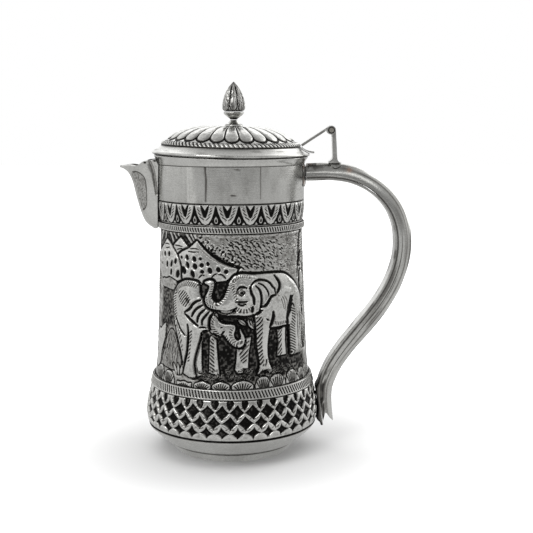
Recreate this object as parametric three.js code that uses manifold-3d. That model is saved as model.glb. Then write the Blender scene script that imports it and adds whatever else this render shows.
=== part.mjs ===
// Covered silver water jug: chased drum body on a plain foot, beak spout,
// hollow strap handle, and a domed lid on a raised pin hinge.
// Millimetres, +Z up. The origin is the centre of the foot's underside, the
// spout points to -X and the handle to +X.

import * as THREE from 'three';
import Module from 'manifold-3d';
import { mergeVertices } from 'three/addons/utils/BufferGeometryUtils.js';

const wasm = await Module();
wasm.setup();

// ---------------------------------------------------------------- dimensions

const GAP = 0.3; // clearance between soldered or resting neighbours
const WALL = 1.6; // sheet thickness of the body
const RING_SIDES = 40; // facets round the body and the lid
const SMALL_SIDES = 24; // facets round the finial
const PIN_SIDES = 16; // facets round pins and knuckles

// Heights of the joins between the body's rings, from the table up.
const FOOT_TOP = 6.2;
const BOWL_TOP = 19.0;
const SKIRT_TOP = 48.6;
const DRUM_TOP = 152.6;
const BAND_TOP = 168.9;
const COLLAR_TOP = 192.0;
const RIM_TOP = 196.9;

const COLLAR_RADIUS = 48.5;
const RIM_RADIUS = 50.8;
const MOUTH_RADIUS = 46.7;

const BEZEL_RADIUS = 44.9;
const BEZEL_DEPTH = 5.6; // how far the lid's bezel drops into the mouth
const FLANGE_RADIUS = 52.1;
const DOME_TOP = 216.0;
const FINIAL_X = 1.9; // the finial stands a little off centre, toward the hinge

const HINGE = { x: 66, z: 214 };
const KNUCKLE_RADIUS = 2.9;
const PIN_RADIUS = 1.6;
const PIN_CLEARANCE = 0.1;
const CENTRE_KNUCKLE = 4.6; // length of the lid's knuckle along the pin
const HINGE_WIDTH = 10.4; // over the two outer knuckles

const HANDLE_HALF_WIDTH = 7.2;
const HANDLE_WALL = 1.5;
const STRIP_THICKNESS = 1.7;
const NOMINAL_THICKNESS = 12; // thickness at which the handle's section is drawn

// Centre line of the handle: x, z and the thickness seen from the side.
const HANDLE_STATIONS = [
  [50.0, 186.5, 11.4],
  [66.0, 186.8, 11.2],
  [82.0, 184.2, 11.3],
  [97.0, 176.2, 11.5],
  [108.2, 163.8, 11.7],
  [114.0, 148.0, 12.0],
  [114.0, 130.0, 12.0],
  [109.0, 112.8, 12.3],
  [99.8, 96.5, 12.5],
  [87.0, 80.0, 12.5],
  [76.6, 67.0, 12.2],
  [68.6, 54.8, 11.7],
  [63.9, 43.4, 11.2],
  [63.0, 35.0, 10.3],
  [63.6, 25.5, 9.6],
  [64.9, 15.4, 9.3],
];

// ------------------------------------------------------------------ materials

const silver = (colour, roughness) =>
  new THREE.MeshStandardMaterial({ color: colour, metalness: 1, roughness });

const polished = () => silver(0xb9b9b4, 0.22);
const satin = () => silver(0xa3a39e, 0.38);
const chased = () => silver(0x8a8983, 0.45);
const dull = () => silver(0x6f6d67, 0.55);

// -------------------------------------------------------------------- helpers

const jug = new THREE.Group();

function add(name, geometry, material, parent = jug) {
  const mesh = new THREE.Mesh(geometry, material);
  mesh.name = name;
  parent.add(mesh);
  return mesh;
}

// A turned piece: a closed [radius, z] outline, outer side first going up.
function turned(outline, sides = RING_SIDES) {
  const points = outline.map(([radius, z]) => new THREE.Vector2(radius, z));
  if (outline[0][0] > 0) points.push(points[0].clone());
  return new THREE.LatheGeometry(points, sides).rotateX(Math.PI / 2);
}

// A ring of sheet metal: its outer side, and the same line moved inwards.
function spunRing(outer, thickness = WALL) {
  const inner = outer.map(([radius, z]) => [radius - thickness, z]).reverse();
  return turned([...outer, ...inner]);
}

// A flat outline in the XZ plane, with a width along Y about the plane.
function slab(outline, width) {
  const shape = new THREE.Shape(outline.map(([x, z]) => new THREE.Vector2(x, z)));
  return new THREE.ExtrudeGeometry(shape, { depth: width, bevelEnabled: false })
    .rotateX(Math.PI / 2)
    .translate(0, width / 2, 0);
}

function barrel(radius, length) {
  return new THREE.CylinderGeometry(radius, radius, length, PIN_SIDES)
    .translate(HINGE.x, 0, HINGE.z);
}

function solid(geometry) {
  const bare = geometry.clone();
  bare.deleteAttribute('normal');
  bare.deleteAttribute('uv');
  const merged = mergeVertices(bare, 1e-4);
  return new wasm.Manifold(new wasm.Mesh({
    numProp: 3,
    vertProperties: new Float32Array(merged.attributes.position.array),
    triVerts: new Uint32Array(merged.index.array),
  }));
}

function geometryOf(manifold) {
  const mesh = manifold.getMesh();
  const geometry = new THREE.BufferGeometry();
  geometry.setAttribute('position', new THREE.BufferAttribute(mesh.vertProperties, 3));
  geometry.setIndex(new THREE.BufferAttribute(mesh.triVerts, 1));
  geometry.computeVertexNormals();
  return geometry;
}

const join = (...parts) => parts.map(solid).reduce((all, part) => all.add(part));
const cut = (body, ...tools) =>
  tools.map(solid).reduce((all, tool) => all.subtract(tool), body);

// A curved plate: outer(u, v) gives its outer skin for u and v from 0 to 1,
// and the inner skin lies one thickness behind it.
function plate(outer, thickness, acrossSteps, upSteps) {
  const nudge = 0.02;
  const geometry = new THREE.BoxGeometry(1, 1, 1, acrossSteps, upSteps, 1);
  const position = geometry.attributes.position;
  for (let i = 0; i < position.count; i += 1) {
    const u = Math.round((position.getX(i) + 0.5) * acrossSteps) / acrossSteps;
    const v = Math.round((position.getY(i) + 0.5) * upSteps) / upSteps;
    const point = outer(u, v);
    if (position.getZ(i) < 0) {
      const [left, right] = [Math.max(u - nudge, 0), Math.min(u + nudge, 1)];
      const [low, high] = [Math.max(v - nudge, 0), Math.min(v + nudge, 1)];
      const across = outer(right, v).sub(outer(left, v));
      const up = outer(u, high).sub(outer(u, low));
      point.addScaledVector(across.cross(up).normalize(), -thickness);
    }
    position.setXYZ(i, point.x, point.y, point.z);
  }
  return geometry;
}

const mix = (a, b, t) => a + (b - a) * t;

// Straight-line interpolation through rows of numbers spread evenly over 0..1.
function along(rows, t) {
  const place = Math.min(Math.max(t, 0), 1) * (rows.length - 1);
  const first = Math.min(Math.floor(place), rows.length - 2);
  return rows[first].map((value, k) => mix(value, rows[first + 1][k], place - first));
}

// ----------------------------------------------------------------------- body

function foot() {
  const plateRadius = 37.6;
  add('base_plate', turned([[0, 0], [plateRadius, 0], [plateRadius, 1.4], [0, 1.4]]), satin());

  add('foot_ring', turned([
    [plateRadius + GAP, 0],
    [38.9, 0],
    [39.7, 0.8],
    [41.4, 2.8],
    [43.0, FOOT_TOP - GAP],
    [40.6, FOOT_TOP - GAP],
    [plateRadius + GAP, 2.2],
  ]), satin());

  add('base_bowl', turned([
    [43.2, FOOT_TOP],
    [44.8, 6.9],
    [47.6, 9.0],
    [51.2, 12.0],
    [54.4, 15.2],
    [56.6, BOWL_TOP - GAP],
    [54.8, BOWL_TOP - GAP],
    [49.8, 13.0],
    [46.0, 9.8],
    [40.8, FOOT_TOP],
  ]), satin());
}

function body() {
  add('lattice_skirt', spunRing([
    [56.6, BOWL_TOP],
    [57.6, 21.5],
    [58.2, 26.0],
    [57.9, 31.0],
    [56.7, 37.0],
    [55.0, 43.4],
    [53.4, SKIRT_TOP - GAP],
  ]), chased());

  add('skirt_border_wire', turned([
    [54.7, 45.6],
    [55.6, 46.1],
    [54.3, 51.3],
    [53.4, 51.9],
    [52.4, 51.9],
    [53.8, 48.4],
  ]), chased());

  add('scene_drum', spunRing([
    [52.7, SKIRT_TOP],
    [51.6, 54.0],
    [50.7, 64.0],
    [49.8, 84.0],
    [48.9, 106.0],
    [48.1, 128.0],
    [47.3, DRUM_TOP - GAP],
  ]), chased());

  add('drum_border_wire', turned([
    [47.5 + GAP, 150.4],
    [48.8, 150.8],
    [48.8, 154.2],
    [47.5 + GAP, 154.6],
  ]), chased());

  add('leaf_band', spunRing([
    [47.2, DRUM_TOP],
    [47.4, 155.0],
    [48.2, 161.0],
    [48.6, BAND_TOP - GAP],
  ]), chased());
}

function neck() {
  // The wall behind the spout is cut away, so that the jug can pour.
  const port = { halfWidth: 12.5, bottom: 173.0, top: 187.5 };
  const height = port.top - port.bottom;
  const arch = new THREE.Shape();
  arch.moveTo(-port.halfWidth, height);
  arch.bezierCurveTo(-port.halfWidth, height * 0.35, -port.halfWidth * 0.6, 0, 0, 0);
  arch.bezierCurveTo(port.halfWidth * 0.6, 0, port.halfWidth, height * 0.35, port.halfWidth, height);
  const cutter = new THREE.ExtrudeGeometry(arch, { depth: 20, bevelEnabled: false, curveSegments: 8 })
    .rotateX(Math.PI / 2)
    .rotateZ(Math.PI / 2)
    .translate(-COLLAR_RADIUS - 10, 0, port.bottom);
  const wall = spunRing([
    [COLLAR_RADIUS, BAND_TOP],
    [COLLAR_RADIUS, COLLAR_TOP - GAP],
  ]);
  add('collar', geometryOf(cut(solid(wall), cutter)), polished());

  add('mouth_rim', turned([
    [48.7, COLLAR_TOP],
    [49.2, 193.6],
    [50.3, 195.2],
    [RIM_RADIUS, 196.0],
    [RIM_RADIUS - 0.4, RIM_TOP],
    [MOUTH_RADIUS, RIM_TOP],
    [MOUTH_RADIUS, COLLAR_TOP],
  ]), polished());
}

// ---------------------------------------------------------------------- spout

function spout() {
  const thickness = 1.1;
  // From the bottom point up to the lip: the front ridge's x and z, the half
  // width and height of the edge that meets the body, and the nose's shape
  // (1 is round, 2 is a sharp V).
  const levels = [
    [-51.4, 148.8, 4.5, 149.4, 1.0],
    [-56.8, 153.0, 8.2, 153.4, 1.05],
    [-59.9, 159.2, 9.8, 159.6, 1.1],
    [-61.9, 166.0, 10.8, 166.6, 1.15],
    [-63.6, 172.6, 12.0, 174.0, 1.2],
    [-65.4, 180.0, 13.4, 181.8, 1.25],
    [-68.6, 186.4, 14.6, 189.0, 1.4],
    [-73.7, 190.0, 15.4, 195.4, 1.7],
  ];
  const bodyRadius = (z) => 49.2 + Math.max(0, z - 191.4) * 0.45;
  const skin = (u, v) => {
    const [ridgeX, ridgeZ, halfWidth, edgeZ, nose] = along(levels, v);
    const side = Math.sign(u - 0.5);
    const turn = (1 - Math.abs(2 * u - 1)) * Math.PI / 2;
    const forward = Math.sin(turn) ** nose;
    const sideways = Math.max(Math.cos(turn), 0) ** nose;
    const inset = halfWidth - thickness;
    const edgeX = -Math.sqrt(bodyRadius(edgeZ) ** 2 - inset ** 2) - GAP;
    return new THREE.Vector3(
      mix(edgeX, ridgeX, forward),
      -side * halfWidth * sideways,
      mix(edgeZ, ridgeZ, forward),
    );
  };
  add('spout', plate(skin, thickness, 20, 14), polished());
}

// --------------------------------------------------------------------- handle

const handlePath = new THREE.CatmullRomCurve3(
  HANDLE_STATIONS.map(([x, z]) => new THREE.Vector3(x, 0, z)),
);

// Bends an extrusion of unit depth along the handle. In the section, x is
// across the handle and y runs from its inner face (0) to its outer face (1).
function bentAlongHandle(section, steps) {
  const geometry = new THREE.ExtrudeGeometry(section, {
    depth: 1, steps, bevelEnabled: false, curveSegments: 5,
  });
  const position = geometry.attributes.position;
  const last = HANDLE_STATIONS.length - 1;
  for (let i = 0; i < position.count; i += 1) {
    const t = Math.round(position.getZ(i) * steps) / steps;
    const centre = handlePath.getPoint(t);
    const tangent = handlePath.getTangent(t);
    const outward = new THREE.Vector3(-tangent.z, 0, tangent.x);
    const [, , thickness] = along(HANDLE_STATIONS, Math.min(t * last, last) / last);
    const depth = sectionDepth(position.getY(i), thickness);
    position.setXYZ(
      i,
      centre.x + outward.x * depth,
      position.getX(i),
      centre.z + outward.z * depth,
    );
  }
  return geometry;
}

// Section heights count in millimetres from the inner face; the outer shell
// stretches with the handle's thickness and the strip doesn't.
function sectionDepth(height, thickness) {
  const stripPart = STRIP_THICKNESS + GAP;
  if (height <= stripPart) return height - thickness / 2;
  const share = (height - stripPart) / (NOMINAL_THICKNESS - stripPart);
  return stripPart - thickness / 2 + share * (thickness - stripPart);
}

function handle() {
  const seam = STRIP_THICKNESS + GAP;
  const crown = NOMINAL_THICKNESS - seam;
  const shellSection = new THREE.Shape();
  shellSection.moveTo(HANDLE_HALF_WIDTH, seam);
  shellSection.absellipse(0, seam, HANDLE_HALF_WIDTH, crown, 0, Math.PI, false);
  shellSection.lineTo(-HANDLE_HALF_WIDTH + HANDLE_WALL, seam);
  shellSection.absellipse(
    0, seam, HANDLE_HALF_WIDTH - HANDLE_WALL, crown - HANDLE_WALL, Math.PI, 0, true,
  );
  const shell = bentAlongHandle(shellSection, 32);
  // The lower end is notched into a fishtail.
  const notch = slab([[64.4, 22.6], [60.4, 8], [70.6, 8]], 30);
  add('handle_shell', geometryOf(cut(solid(shell), notch)), polished());

  const edge = HANDLE_HALF_WIDTH + 0.2;
  const stripSection = new THREE.Shape([
    new THREE.Vector2(-edge, 0.5),
    new THREE.Vector2(-edge + 1, 0),
    new THREE.Vector2(edge - 1, 0),
    new THREE.Vector2(edge, 0.5),
    new THREE.Vector2(edge, STRIP_THICKNESS),
    new THREE.Vector2(-edge, STRIP_THICKNESS),
  ]);
  add('handle_inner_strip', bentAlongHandle(stripSection, 32), polished());

  // A thin saddle spreads the handle's pull over the collar.
  const saddleHalfAngle = 0.26;
  const saddleOuter = COLLAR_RADIUS + GAP + 0.9;
  const saddle = (u, v) => {
    const angle = mix(-saddleHalfAngle, saddleHalfAngle, u);
    const z = mix(177.0, 191.4, v);
    return new THREE.Vector3(saddleOuter * Math.cos(angle), saddleOuter * Math.sin(angle), z);
  };
  add('handle_saddle', plate(saddle, 0.9, 8, 1), satin());
}

// ---------------------------------------------------------------------- hinge

function hinge() {
  const bore = barrel(PIN_RADIUS + PIN_CLEARANCE, 40);
  const slot = new THREE.BoxGeometry(9, CENTRE_KNUCKLE + 2 * GAP, 9)
    .translate(HINGE.x, 0, HINGE.z);

  // The post stands on the handle and spreads into a foot soldered to it.
  const handleTop = 192.5 + GAP;
  const strap = slab([
    [62.2, handleTop],
    [73.6, handleTop],
    [71.0, 194.2],
    [69.9, 196.6],
    [69.4, 204],
    [68.9, HINGE.z],
    [66.4, HINGE.z],
    [66.8, 204],
    [67.0, 197.2],
    [66.0, 195.0],
    [62.4, 193.6],
  ], HINGE_WIDTH);
  const post = join(strap, barrel(KNUCKLE_RADIUS, HINGE_WIDTH));
  add('hinge_post', geometryOf(cut(post, slot, bore)), satin());

  // A plain pin with both ends peened over.
  const half = HINGE_WIDTH / 2;
  const headRadius = PIN_RADIUS + 0.7;
  const pin = new THREE.LatheGeometry([
    [0, -half - 1.2],
    [headRadius - 0.5, -half - 1.2],
    [headRadius, -half - 0.7],
    [headRadius, -half - 0.1],
    [PIN_RADIUS, -half - 0.1],
    [PIN_RADIUS, half + 0.1],
    [headRadius, half + 0.1],
    [headRadius, half + 0.7],
    [headRadius - 0.5, half + 1.2],
    [0, half + 1.2],
  ].map(([radius, y]) => new THREE.Vector2(radius, y)), PIN_SIDES)
    .translate(HINGE.x, 0, HINGE.z);
  add('hinge_pin', pin, dull());
}

// ------------------------------------------------------------------------ lid

const lid = new THREE.Group();
jug.add(lid);

function lidShell() {
  const flangeBottom = RIM_TOP + GAP;
  const flangeTop = 203.0;
  add('lid_flange', turned([
    [BEZEL_RADIUS + GAP, flangeBottom],
    [FLANGE_RADIUS - 0.7, flangeBottom],
    [FLANGE_RADIUS, 197.9],
    [FLANGE_RADIUS - 0.1, 198.8],
    [49.2, 200.3],
    [46.9, 201.7],
    [BEZEL_RADIUS + 1, flangeTop],
    [BEZEL_RADIUS + GAP, flangeTop],
  ]), polished(), lid);

  add('lid_bezel', spunRing([
    [BEZEL_RADIUS - 0.5, RIM_TOP - BEZEL_DEPTH],
    [BEZEL_RADIUS, RIM_TOP - BEZEL_DEPTH + 0.8],
    [BEZEL_RADIUS, flangeTop],
  ], 1.2), polished(), lid);

  add('lid_rope_border', turned([
    [45.8, flangeTop + GAP],
    [44.9, 204.7],
    [43.9, 205.4],
    [42.4, 206.3],
    [41.5, 205.0],
    [43.4, flangeTop + GAP],
  ]), chased(), lid);

  const dome = turned([
    [0, DOME_TOP - 1.2],
    [19.6, 214.1],
    [27.4, 212.7],
    [34.2, 210.2],
    [41.1, 205.4],
    [42.0, 206.6],
    [38.8, 208.9],
    [35.0, 211.3],
    [28.0, 213.9],
    [20.0, 215.4],
    [12.2, DOME_TOP],
    [0, DOME_TOP],
  ]);
  const studHole = new THREE.CylinderGeometry(2.3, 2.3, 10, SMALL_SIDES)
    .rotateX(Math.PI / 2)
    .translate(FINIAL_X, 0, DOME_TOP);
  add('lid_dome', geometryOf(cut(solid(dome), studHole)), chased(), lid);
}

function lidHinge() {
  // The strap leaves the top of the barrel and falls at this angle to the lid.
  const fall = THREE.MathUtils.degToRad(33);
  const downhill = new THREE.Vector2(-Math.cos(fall), -Math.sin(fall));
  const inward = new THREE.Vector2(Math.sin(fall), -Math.cos(fall));
  const tangentPoint = new THREE.Vector2(HINGE.x, HINGE.z).addScaledVector(inward, -KNUCKLE_RADIUS);
  const strapThickness = 1.5;
  const strapLength = 21.7;
  const strapFrom = (start, end, width) => {
    const corners = [[start, 0], [end, 0], [end, strapThickness], [start, strapThickness]];
    return slab(corners.map(([run, depth]) => {
      const point = tangentPoint.clone().addScaledVector(downhill, run).addScaledVector(inward, depth);
      return [point.x, point.y];
    }), width);
  };
  const arm = join(
    barrel(KNUCKLE_RADIUS, CENTRE_KNUCKLE),
    strapFrom(0, 5, CENTRE_KNUCKLE),
    strapFrom(4, strapLength, 8),
  );
  const bore = barrel(PIN_RADIUS + PIN_CLEARANCE, 20);
  add('lid_arm', geometryOf(cut(arm, bore)), satin(), lid);

  // The foot of the strap is curved to lie along the flange.
  add('lid_bracket', slab([
    [46.2, 202.9],
    [47.2, 201.9],
    [49.5, 200.5],
    [52.3, 199.2],
    [53.6, 198.9],
    [54.9, 198.9],
    [54.9, 200.0],
    [53.0, 200.3],
    [50.0, 201.0],
    [47.9, 202.1],
    [47.0, 202.9],
  ], 9), polished(), lid);
}

function finial() {
  const offCentre = (outline, sides) => turned(outline, sides).translate(FINIAL_X, 0, 0);
  const baseBottom = DOME_TOP + GAP;
  add('finial_base', offCentre([
    [1.9, baseBottom],
    [5.0, baseBottom],
    [5.6, 216.9],
    [5.2, 217.8],
    [3.6, 218.4],
    [2.5, 219.4],
    [2.0, 220.6],
    [0, 220.6],
    [0, 218.6],
    [1.9, 218.6],
  ], SMALL_SIDES), polished(), lid);

  // The calyx under the bud has eight flat faces.
  add('finial_cup', offCentre([
    [0, 220.9],
    [2.0, 220.9],
    [2.7, 221.5],
    [5.2, 223.4],
    [6.7, 225.0],
    [6.5, 225.9],
    [0, 225.9],
  ], 8), polished(), lid);

  add('finial_bud', offCentre([
    [0, 226.2],
    [6.2, 226.2],
    [7.0, 228.4],
    [6.8, 231.4],
    [5.8, 235.4],
    [4.2, 239.6],
    [2.3, 243.4],
    [0.8, 245.2],
    [0, 245.5],
  ], SMALL_SIDES), chased(), lid);

  // Inside the lid, a stud, a washer and a nut hold the finial down.
  add('finial_stud', offCentre([
    [0, 208.2],
    [1.6, 208.2],
    [1.6, 218.3],
    [0, 218.3],
  ], PIN_SIDES), dull(), lid);
  const washerTop = DOME_TOP - 1.2 - GAP;
  add('finial_washer', offCentre([
    [1.9, washerTop - 0.8],
    [5.4, washerTop - 0.8],
    [5.4, washerTop],
    [1.9, washerTop],
  ], SMALL_SIDES), dull(), lid);
  const nutTop = washerTop - 0.8 - GAP;
  add('finial_nut', offCentre([
    [1.9, nutTop - 2.6],
    [3.8, nutTop - 2.6],
    [3.8, nutTop],
    [1.9, nutTop],
  ], 6), dull(), lid);
}

foot();
body();
neck();
spout();
handle();
hinge();
lidShell();
lidHinge();
finial();

export default jug;
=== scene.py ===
# A covered silver water jug with a chased landscape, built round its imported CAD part.
# Lengths are written in millimetres and turned into metres when a mesh is made.
# Round the body, s is the distance in mm along a circle, from the front (-Y)
# toward the handle (+X), and z is the height above the table.

import math

import bpy
import numpy as np
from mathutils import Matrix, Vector


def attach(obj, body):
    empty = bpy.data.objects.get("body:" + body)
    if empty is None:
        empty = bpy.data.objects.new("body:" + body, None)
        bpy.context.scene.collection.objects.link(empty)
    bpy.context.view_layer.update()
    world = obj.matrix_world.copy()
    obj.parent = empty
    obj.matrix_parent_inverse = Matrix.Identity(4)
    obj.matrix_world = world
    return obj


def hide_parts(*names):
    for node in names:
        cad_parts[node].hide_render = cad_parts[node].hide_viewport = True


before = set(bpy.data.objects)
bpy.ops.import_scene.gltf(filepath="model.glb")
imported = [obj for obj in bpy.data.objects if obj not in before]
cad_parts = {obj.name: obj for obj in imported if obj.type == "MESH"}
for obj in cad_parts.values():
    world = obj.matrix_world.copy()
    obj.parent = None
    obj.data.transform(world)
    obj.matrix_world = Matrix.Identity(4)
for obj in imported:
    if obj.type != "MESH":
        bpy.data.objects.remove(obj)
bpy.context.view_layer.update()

TURN = 2 * math.pi
ROUND_RADIUS = 48.7  # s is measured along a circle of this radius
ROUND = ROUND_RADIUS * TURN  # once round the body, in mm of s
COARSE = 1


# ------------------------------------------------------------------ curves and noise

def curve(points, closed=False, steps=5):
    """A smooth line through the points."""
    p = np.asarray(points, float)
    n = len(p)
    if closed:
        before, start, end, after = p[np.arange(-1, n - 1)], p, np.roll(p, -1, 0), np.roll(p, -2, 0)
    else:
        ends = np.vstack([2 * p[0] - p[1], p, 2 * p[-1] - p[-2]])
        before, start, end, after = ends[:-3], ends[1:-2], ends[2:-1], ends[3:]
    t = (np.arange(steps) / steps)[None, :, None]
    a, b, c, d = (q[:, None] for q in (before, start, end, after))
    line = 0.5 * (2 * b + (c - a) * t + (2 * a - 5 * b + 4 * c - d) * t**2
                  + (3 * b - a - 3 * c + d) * t**3)
    line = line.reshape(-1, p.shape[1])
    return line if closed else np.vstack([line, p[-1]])


def soft(x, low, high):
    """0 below low, 1 above high, and a smooth step between."""
    t = np.clip((x - low) / (high - low), 0, 1)
    return t * t * (3 - 2 * t)


def dome(t):
    """A quarter-round rise from 0 at t=0 to 1 at t=1."""
    t = np.clip(t, 0, 1)
    return np.sqrt(t * (2 - t))


def noise(x, y, size, seed, wrap=None):
    """Smooth noise from -1 to 1 with features of about that size; x repeats after wrap."""
    x, y = np.broadcast_arrays(x, y)
    cells = None if wrap is None else max(1, round(wrap / size))
    gx = (x - x.min()) / size if cells is None else np.mod(x, wrap) / wrap * cells
    gy = (y - y.min()) / size
    i, j = np.floor(gx).astype(int), np.floor(gy).astype(int)
    fx, fy = soft(gx - i, 0, 1), soft(gy - j, 0, 1)
    table = np.random.default_rng(seed).uniform(-1, 1, (i.max() + 2, j.max() + 2))
    k = i + 1 if cells is None else (i + 1) % cells
    low = table[i, j] * (1 - fx) + table[k, j] * fx
    high = table[i, j + 1] * (1 - fx) + table[k, j + 1] * fx
    return low * (1 - fy) + high * fy


# ------------------------------------------------------------------ chased relief

STROKE_DEPTH = 0.25  # of the short strokes that shade a form


class Relief:
    """A chased sheet over a grid of s and z: its height in mm and its darkness, 0 to 1: patina,
    with painted shade in a few places.
    """

    def __init__(self, s, z, tarnish_and_painted_shade=0.0):
        self.s_line, self.z_line = s, z
        self.s, self.z = np.meshgrid(s, z)
        self.rise = np.zeros(self.s.shape)
        self.dark = np.full(self.s.shape, float(tarnish_and_painted_shade))

    def window(self, points, margin):
        """Rows and columns of the grid within a margin of some points."""
        low, high = points.min(0) - margin, points.max(0) + margin
        columns = slice(*np.searchsorted(self.s_line, [low[0], high[0]]))
        rows = slice(*np.searchsorted(self.z_line, [low[1], high[1]]))
        return rows, columns

    def nearest(self, points, where):
        """Distance to a line, the length along it and the side, + to its left."""
        s, z = self.s[where], self.z[where]
        best = np.full(s.shape, 1e9)
        run, side, length = np.zeros(s.shape), np.zeros(s.shape), 0.0
        for a, b in zip(points[:-1], points[1:]):
            step = b - a
            size = math.hypot(*step)
            if size < 1e-9:
                continue
            u = step / size
            along = np.clip((s - a[0]) * u[0] + (z - a[1]) * u[1], 0, size)
            away = np.hypot(s - a[0] - along * u[0], z - a[1] - along * u[1])
            closer = away < best
            best = np.where(closer, away, best)
            run = np.where(closer, length + along, run)
            side = np.where(closer, np.sign(u[0] * (z - a[1]) - u[1] * (s - a[0])), side)
            length += size
        return best, run, side

    def depth(self, outline, where):
        """Distance inside a closed outline, negative outside it."""
        s, z = self.s[where], self.z[where]
        ring = np.vstack([outline, outline[:1]])
        away, _, _ = self.nearest(ring, where)
        odd = np.zeros(s.shape, bool)
        for (ax, ay), (bx, by) in zip(ring[:-1], ring[1:]):
            if ay != by:
                odd ^= ((ay > z) != (by > z)) & (s < (bx - ax) * (z - ay) / (by - ay) + ax)
        return np.where(odd, away, -away)

    def union(self, outlines, margin):
        """Where some outlines lie, and the depth inside their union, or None off the sheet."""
        outlines = [np.asarray(o, float) for o in outlines]
        where = self.window(np.vstack(outlines), margin)
        if not self.s[where].size:
            return where, None
        return where, np.max([self.depth(o, where) for o in outlines], 0)

    def lift(self, outlines, height, edge=2.0, floor=0.0, rim=1.3, tarnish_and_painted_shade=0.0, rim_dark=1.0):
        """Outlines joined into one raised form with a rounded edge and a dark line round it."""
        where, depth = self.union(outlines, rim * 2)
        if depth is None:
            return
        inside = depth > 0
        line = 1 - soft(-depth, rim * 0.55, rim * 1.15)
        form = dome(depth / edge) + 0.35 * soft(depth, 0.4 * edge, 2.6 * edge)
        self.rise[where] = np.where(inside, floor + height * form, self.rise[where] - 0.45 * line)
        self.dark[where] = np.where(
            inside, np.maximum(tarnish_and_painted_shade, rim_dark * (1 - soft(depth, 0.0, 0.35))),
            np.maximum(self.dark[where], rim_dark * line))

    def sink(self, outlines, drop=0.35, tarnish_and_painted_shade=0.95, edge=0.5):
        """Outlines lowered and darkened, or with no drop only darkened."""
        where, depth = self.union(outlines, edge)
        if depth is None:
            return
        share = soft(depth, -edge / 2, edge / 2)
        self.rise[where] -= drop * share
        self.dark[where] += (tarnish_and_painted_shade - self.dark[where]) * share

    def cut(self, points, width=1.1, depth=0.3, tarnish_and_painted_shade=1.0, taper=0.35):
        """A chased groove along a line, narrower toward its ends."""
        points = np.asarray(points, float)
        where = self.window(points, width * 1.3)
        if not self.s[where].size:
            return
        away, run, _ = self.nearest(points, where)
        length = np.hypot(*np.diff(points, axis=0).T).sum()
        end = np.clip(np.minimum(run, length - run) / (0.25 * length + 1e-6), 0, 1)
        half = width / 2 * (1 - taper * (1 - end))
        share = 1 - soft(away, half * 0.45, half * 1.15)
        burr = soft(away, half, half * 1.5) * (1 - soft(away, half * 1.5, half * 2.3))
        self.rise[where] += depth * (0.35 * burr - share)
        self.dark[where] = np.maximum(self.dark[where] * (1 - 0.5 * burr), tarnish_and_painted_shade * share)

    def ridge(self, points, width=0.8, height=0.2, tarnish_and_painted_shade=0.0):
        """A raised, rounded line."""
        points = np.asarray(points, float)
        where = self.window(points, width)
        if not self.s[where].size:
            return
        share = 1 - soft(self.nearest(points, where)[0], width * 0.2, width * 0.6)
        self.rise[where] += height * share
        self.dark[where] += (tarnish_and_painted_shade - self.dark[where]) * share

    def ticks(self, points, length=1.5, pitch=0.8, tarnish_and_painted_shade=0.8, side=1, slant=0.0):
        """Short strokes that start on a line and run off to one side of it."""
        points = np.asarray(points, float)
        where = self.window(points, length)
        if not self.s[where].size:
            return
        away, run, hand = self.nearest(points, where)
        wave = 0.5 + 0.5 * np.cos(TURN * (run + slant * away) / pitch)
        share = soft(wave, 0.35, 0.75) * (1 - soft(away, length * 0.7, length)) * (hand * side > 0)
        self.rise[where] -= STROKE_DEPTH * share
        self.dark[where] = np.maximum(self.dark[where], tarnish_and_painted_shade * share)

    def hatch(self, outline, angle, pitch=1.7, tarnish_and_painted_shade=0.9, edge=0.5):
        """Parallel strokes over a closed outline, at an angle in degrees from the s axis."""
        where, share = self.union([outline], edge)
        if share is None:
            return
        share = soft(share, 0, edge)
        a = math.radians(angle + 90)
        s, z = self.s[where], self.z[where]
        place = (s * math.cos(a) + z * math.sin(a)) / pitch + 0.3 * noise(s, z, 3 * pitch, 1)
        line = soft(0.5 + 0.5 * np.cos(TURN * place), 0.3, 0.75) * share
        self.rise[where] -= STROKE_DEPTH * line
        self.dark[where] = np.maximum(self.dark[where], tarnish_and_painted_shade * line)

    def pit(self, s, z, width=2.2, height=3.0, lean=0.0, depth=0.45, tarnish_and_painted_shade=0.95):
        """An oval punch mark with a low lip round it."""
        where = self.window(np.array([[s, z]]), max(width, height))
        if not self.s[where].size:
            return
        a = math.radians(lean)
        x, y = self.s[where] - s, self.z[where] - z
        along = x * math.sin(a) + y * math.cos(a)
        across = x * math.cos(a) - y * math.sin(a)
        reach = np.hypot(across / width * 2, along / height * 2)
        share = 1 - soft(reach, 0.65, 1.15)
        lip = soft(reach, 1.0, 1.3) * (1 - soft(reach, 1.3, 1.8))
        self.rise[where] += depth * (0.35 * lip - share)
        self.dark[where] = np.maximum(self.dark[where], tarnish_and_painted_shade * share)

    def dashes(self, box, count, length, lean, seed, width=0.7, depth=0.15, tarnish_and_painted_shade=0.75,
               spread=15):
        """Scattered chisel marks in a box (s0, s1, z0, z1)."""
        dice = np.random.default_rng(seed)
        for s, z, turn, size in zip(dice.uniform(box[0], box[1], count),
                                    dice.uniform(box[2], box[3], count),
                                    np.radians(lean + dice.normal(0, spread, count)),
                                    length * dice.uniform(0.5, 1.3, count)):
            reach = np.array([math.cos(turn), math.sin(turn)]) * size / 2
            self.cut([(s, z) - reach, (s, z) + reach], width, depth, tarnish_and_painted_shade, taper=0.6)

    def rough(self, size, height, tarnish_and_painted_shade, seed):
        """Hand-worked unevenness over the whole sheet."""
        bumps = noise(self.s, self.z, size, seed, ROUND)
        self.rise += height * bumps
        self.dark += np.maximum(-bumps, 0) * tarnish_and_painted_shade

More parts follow.
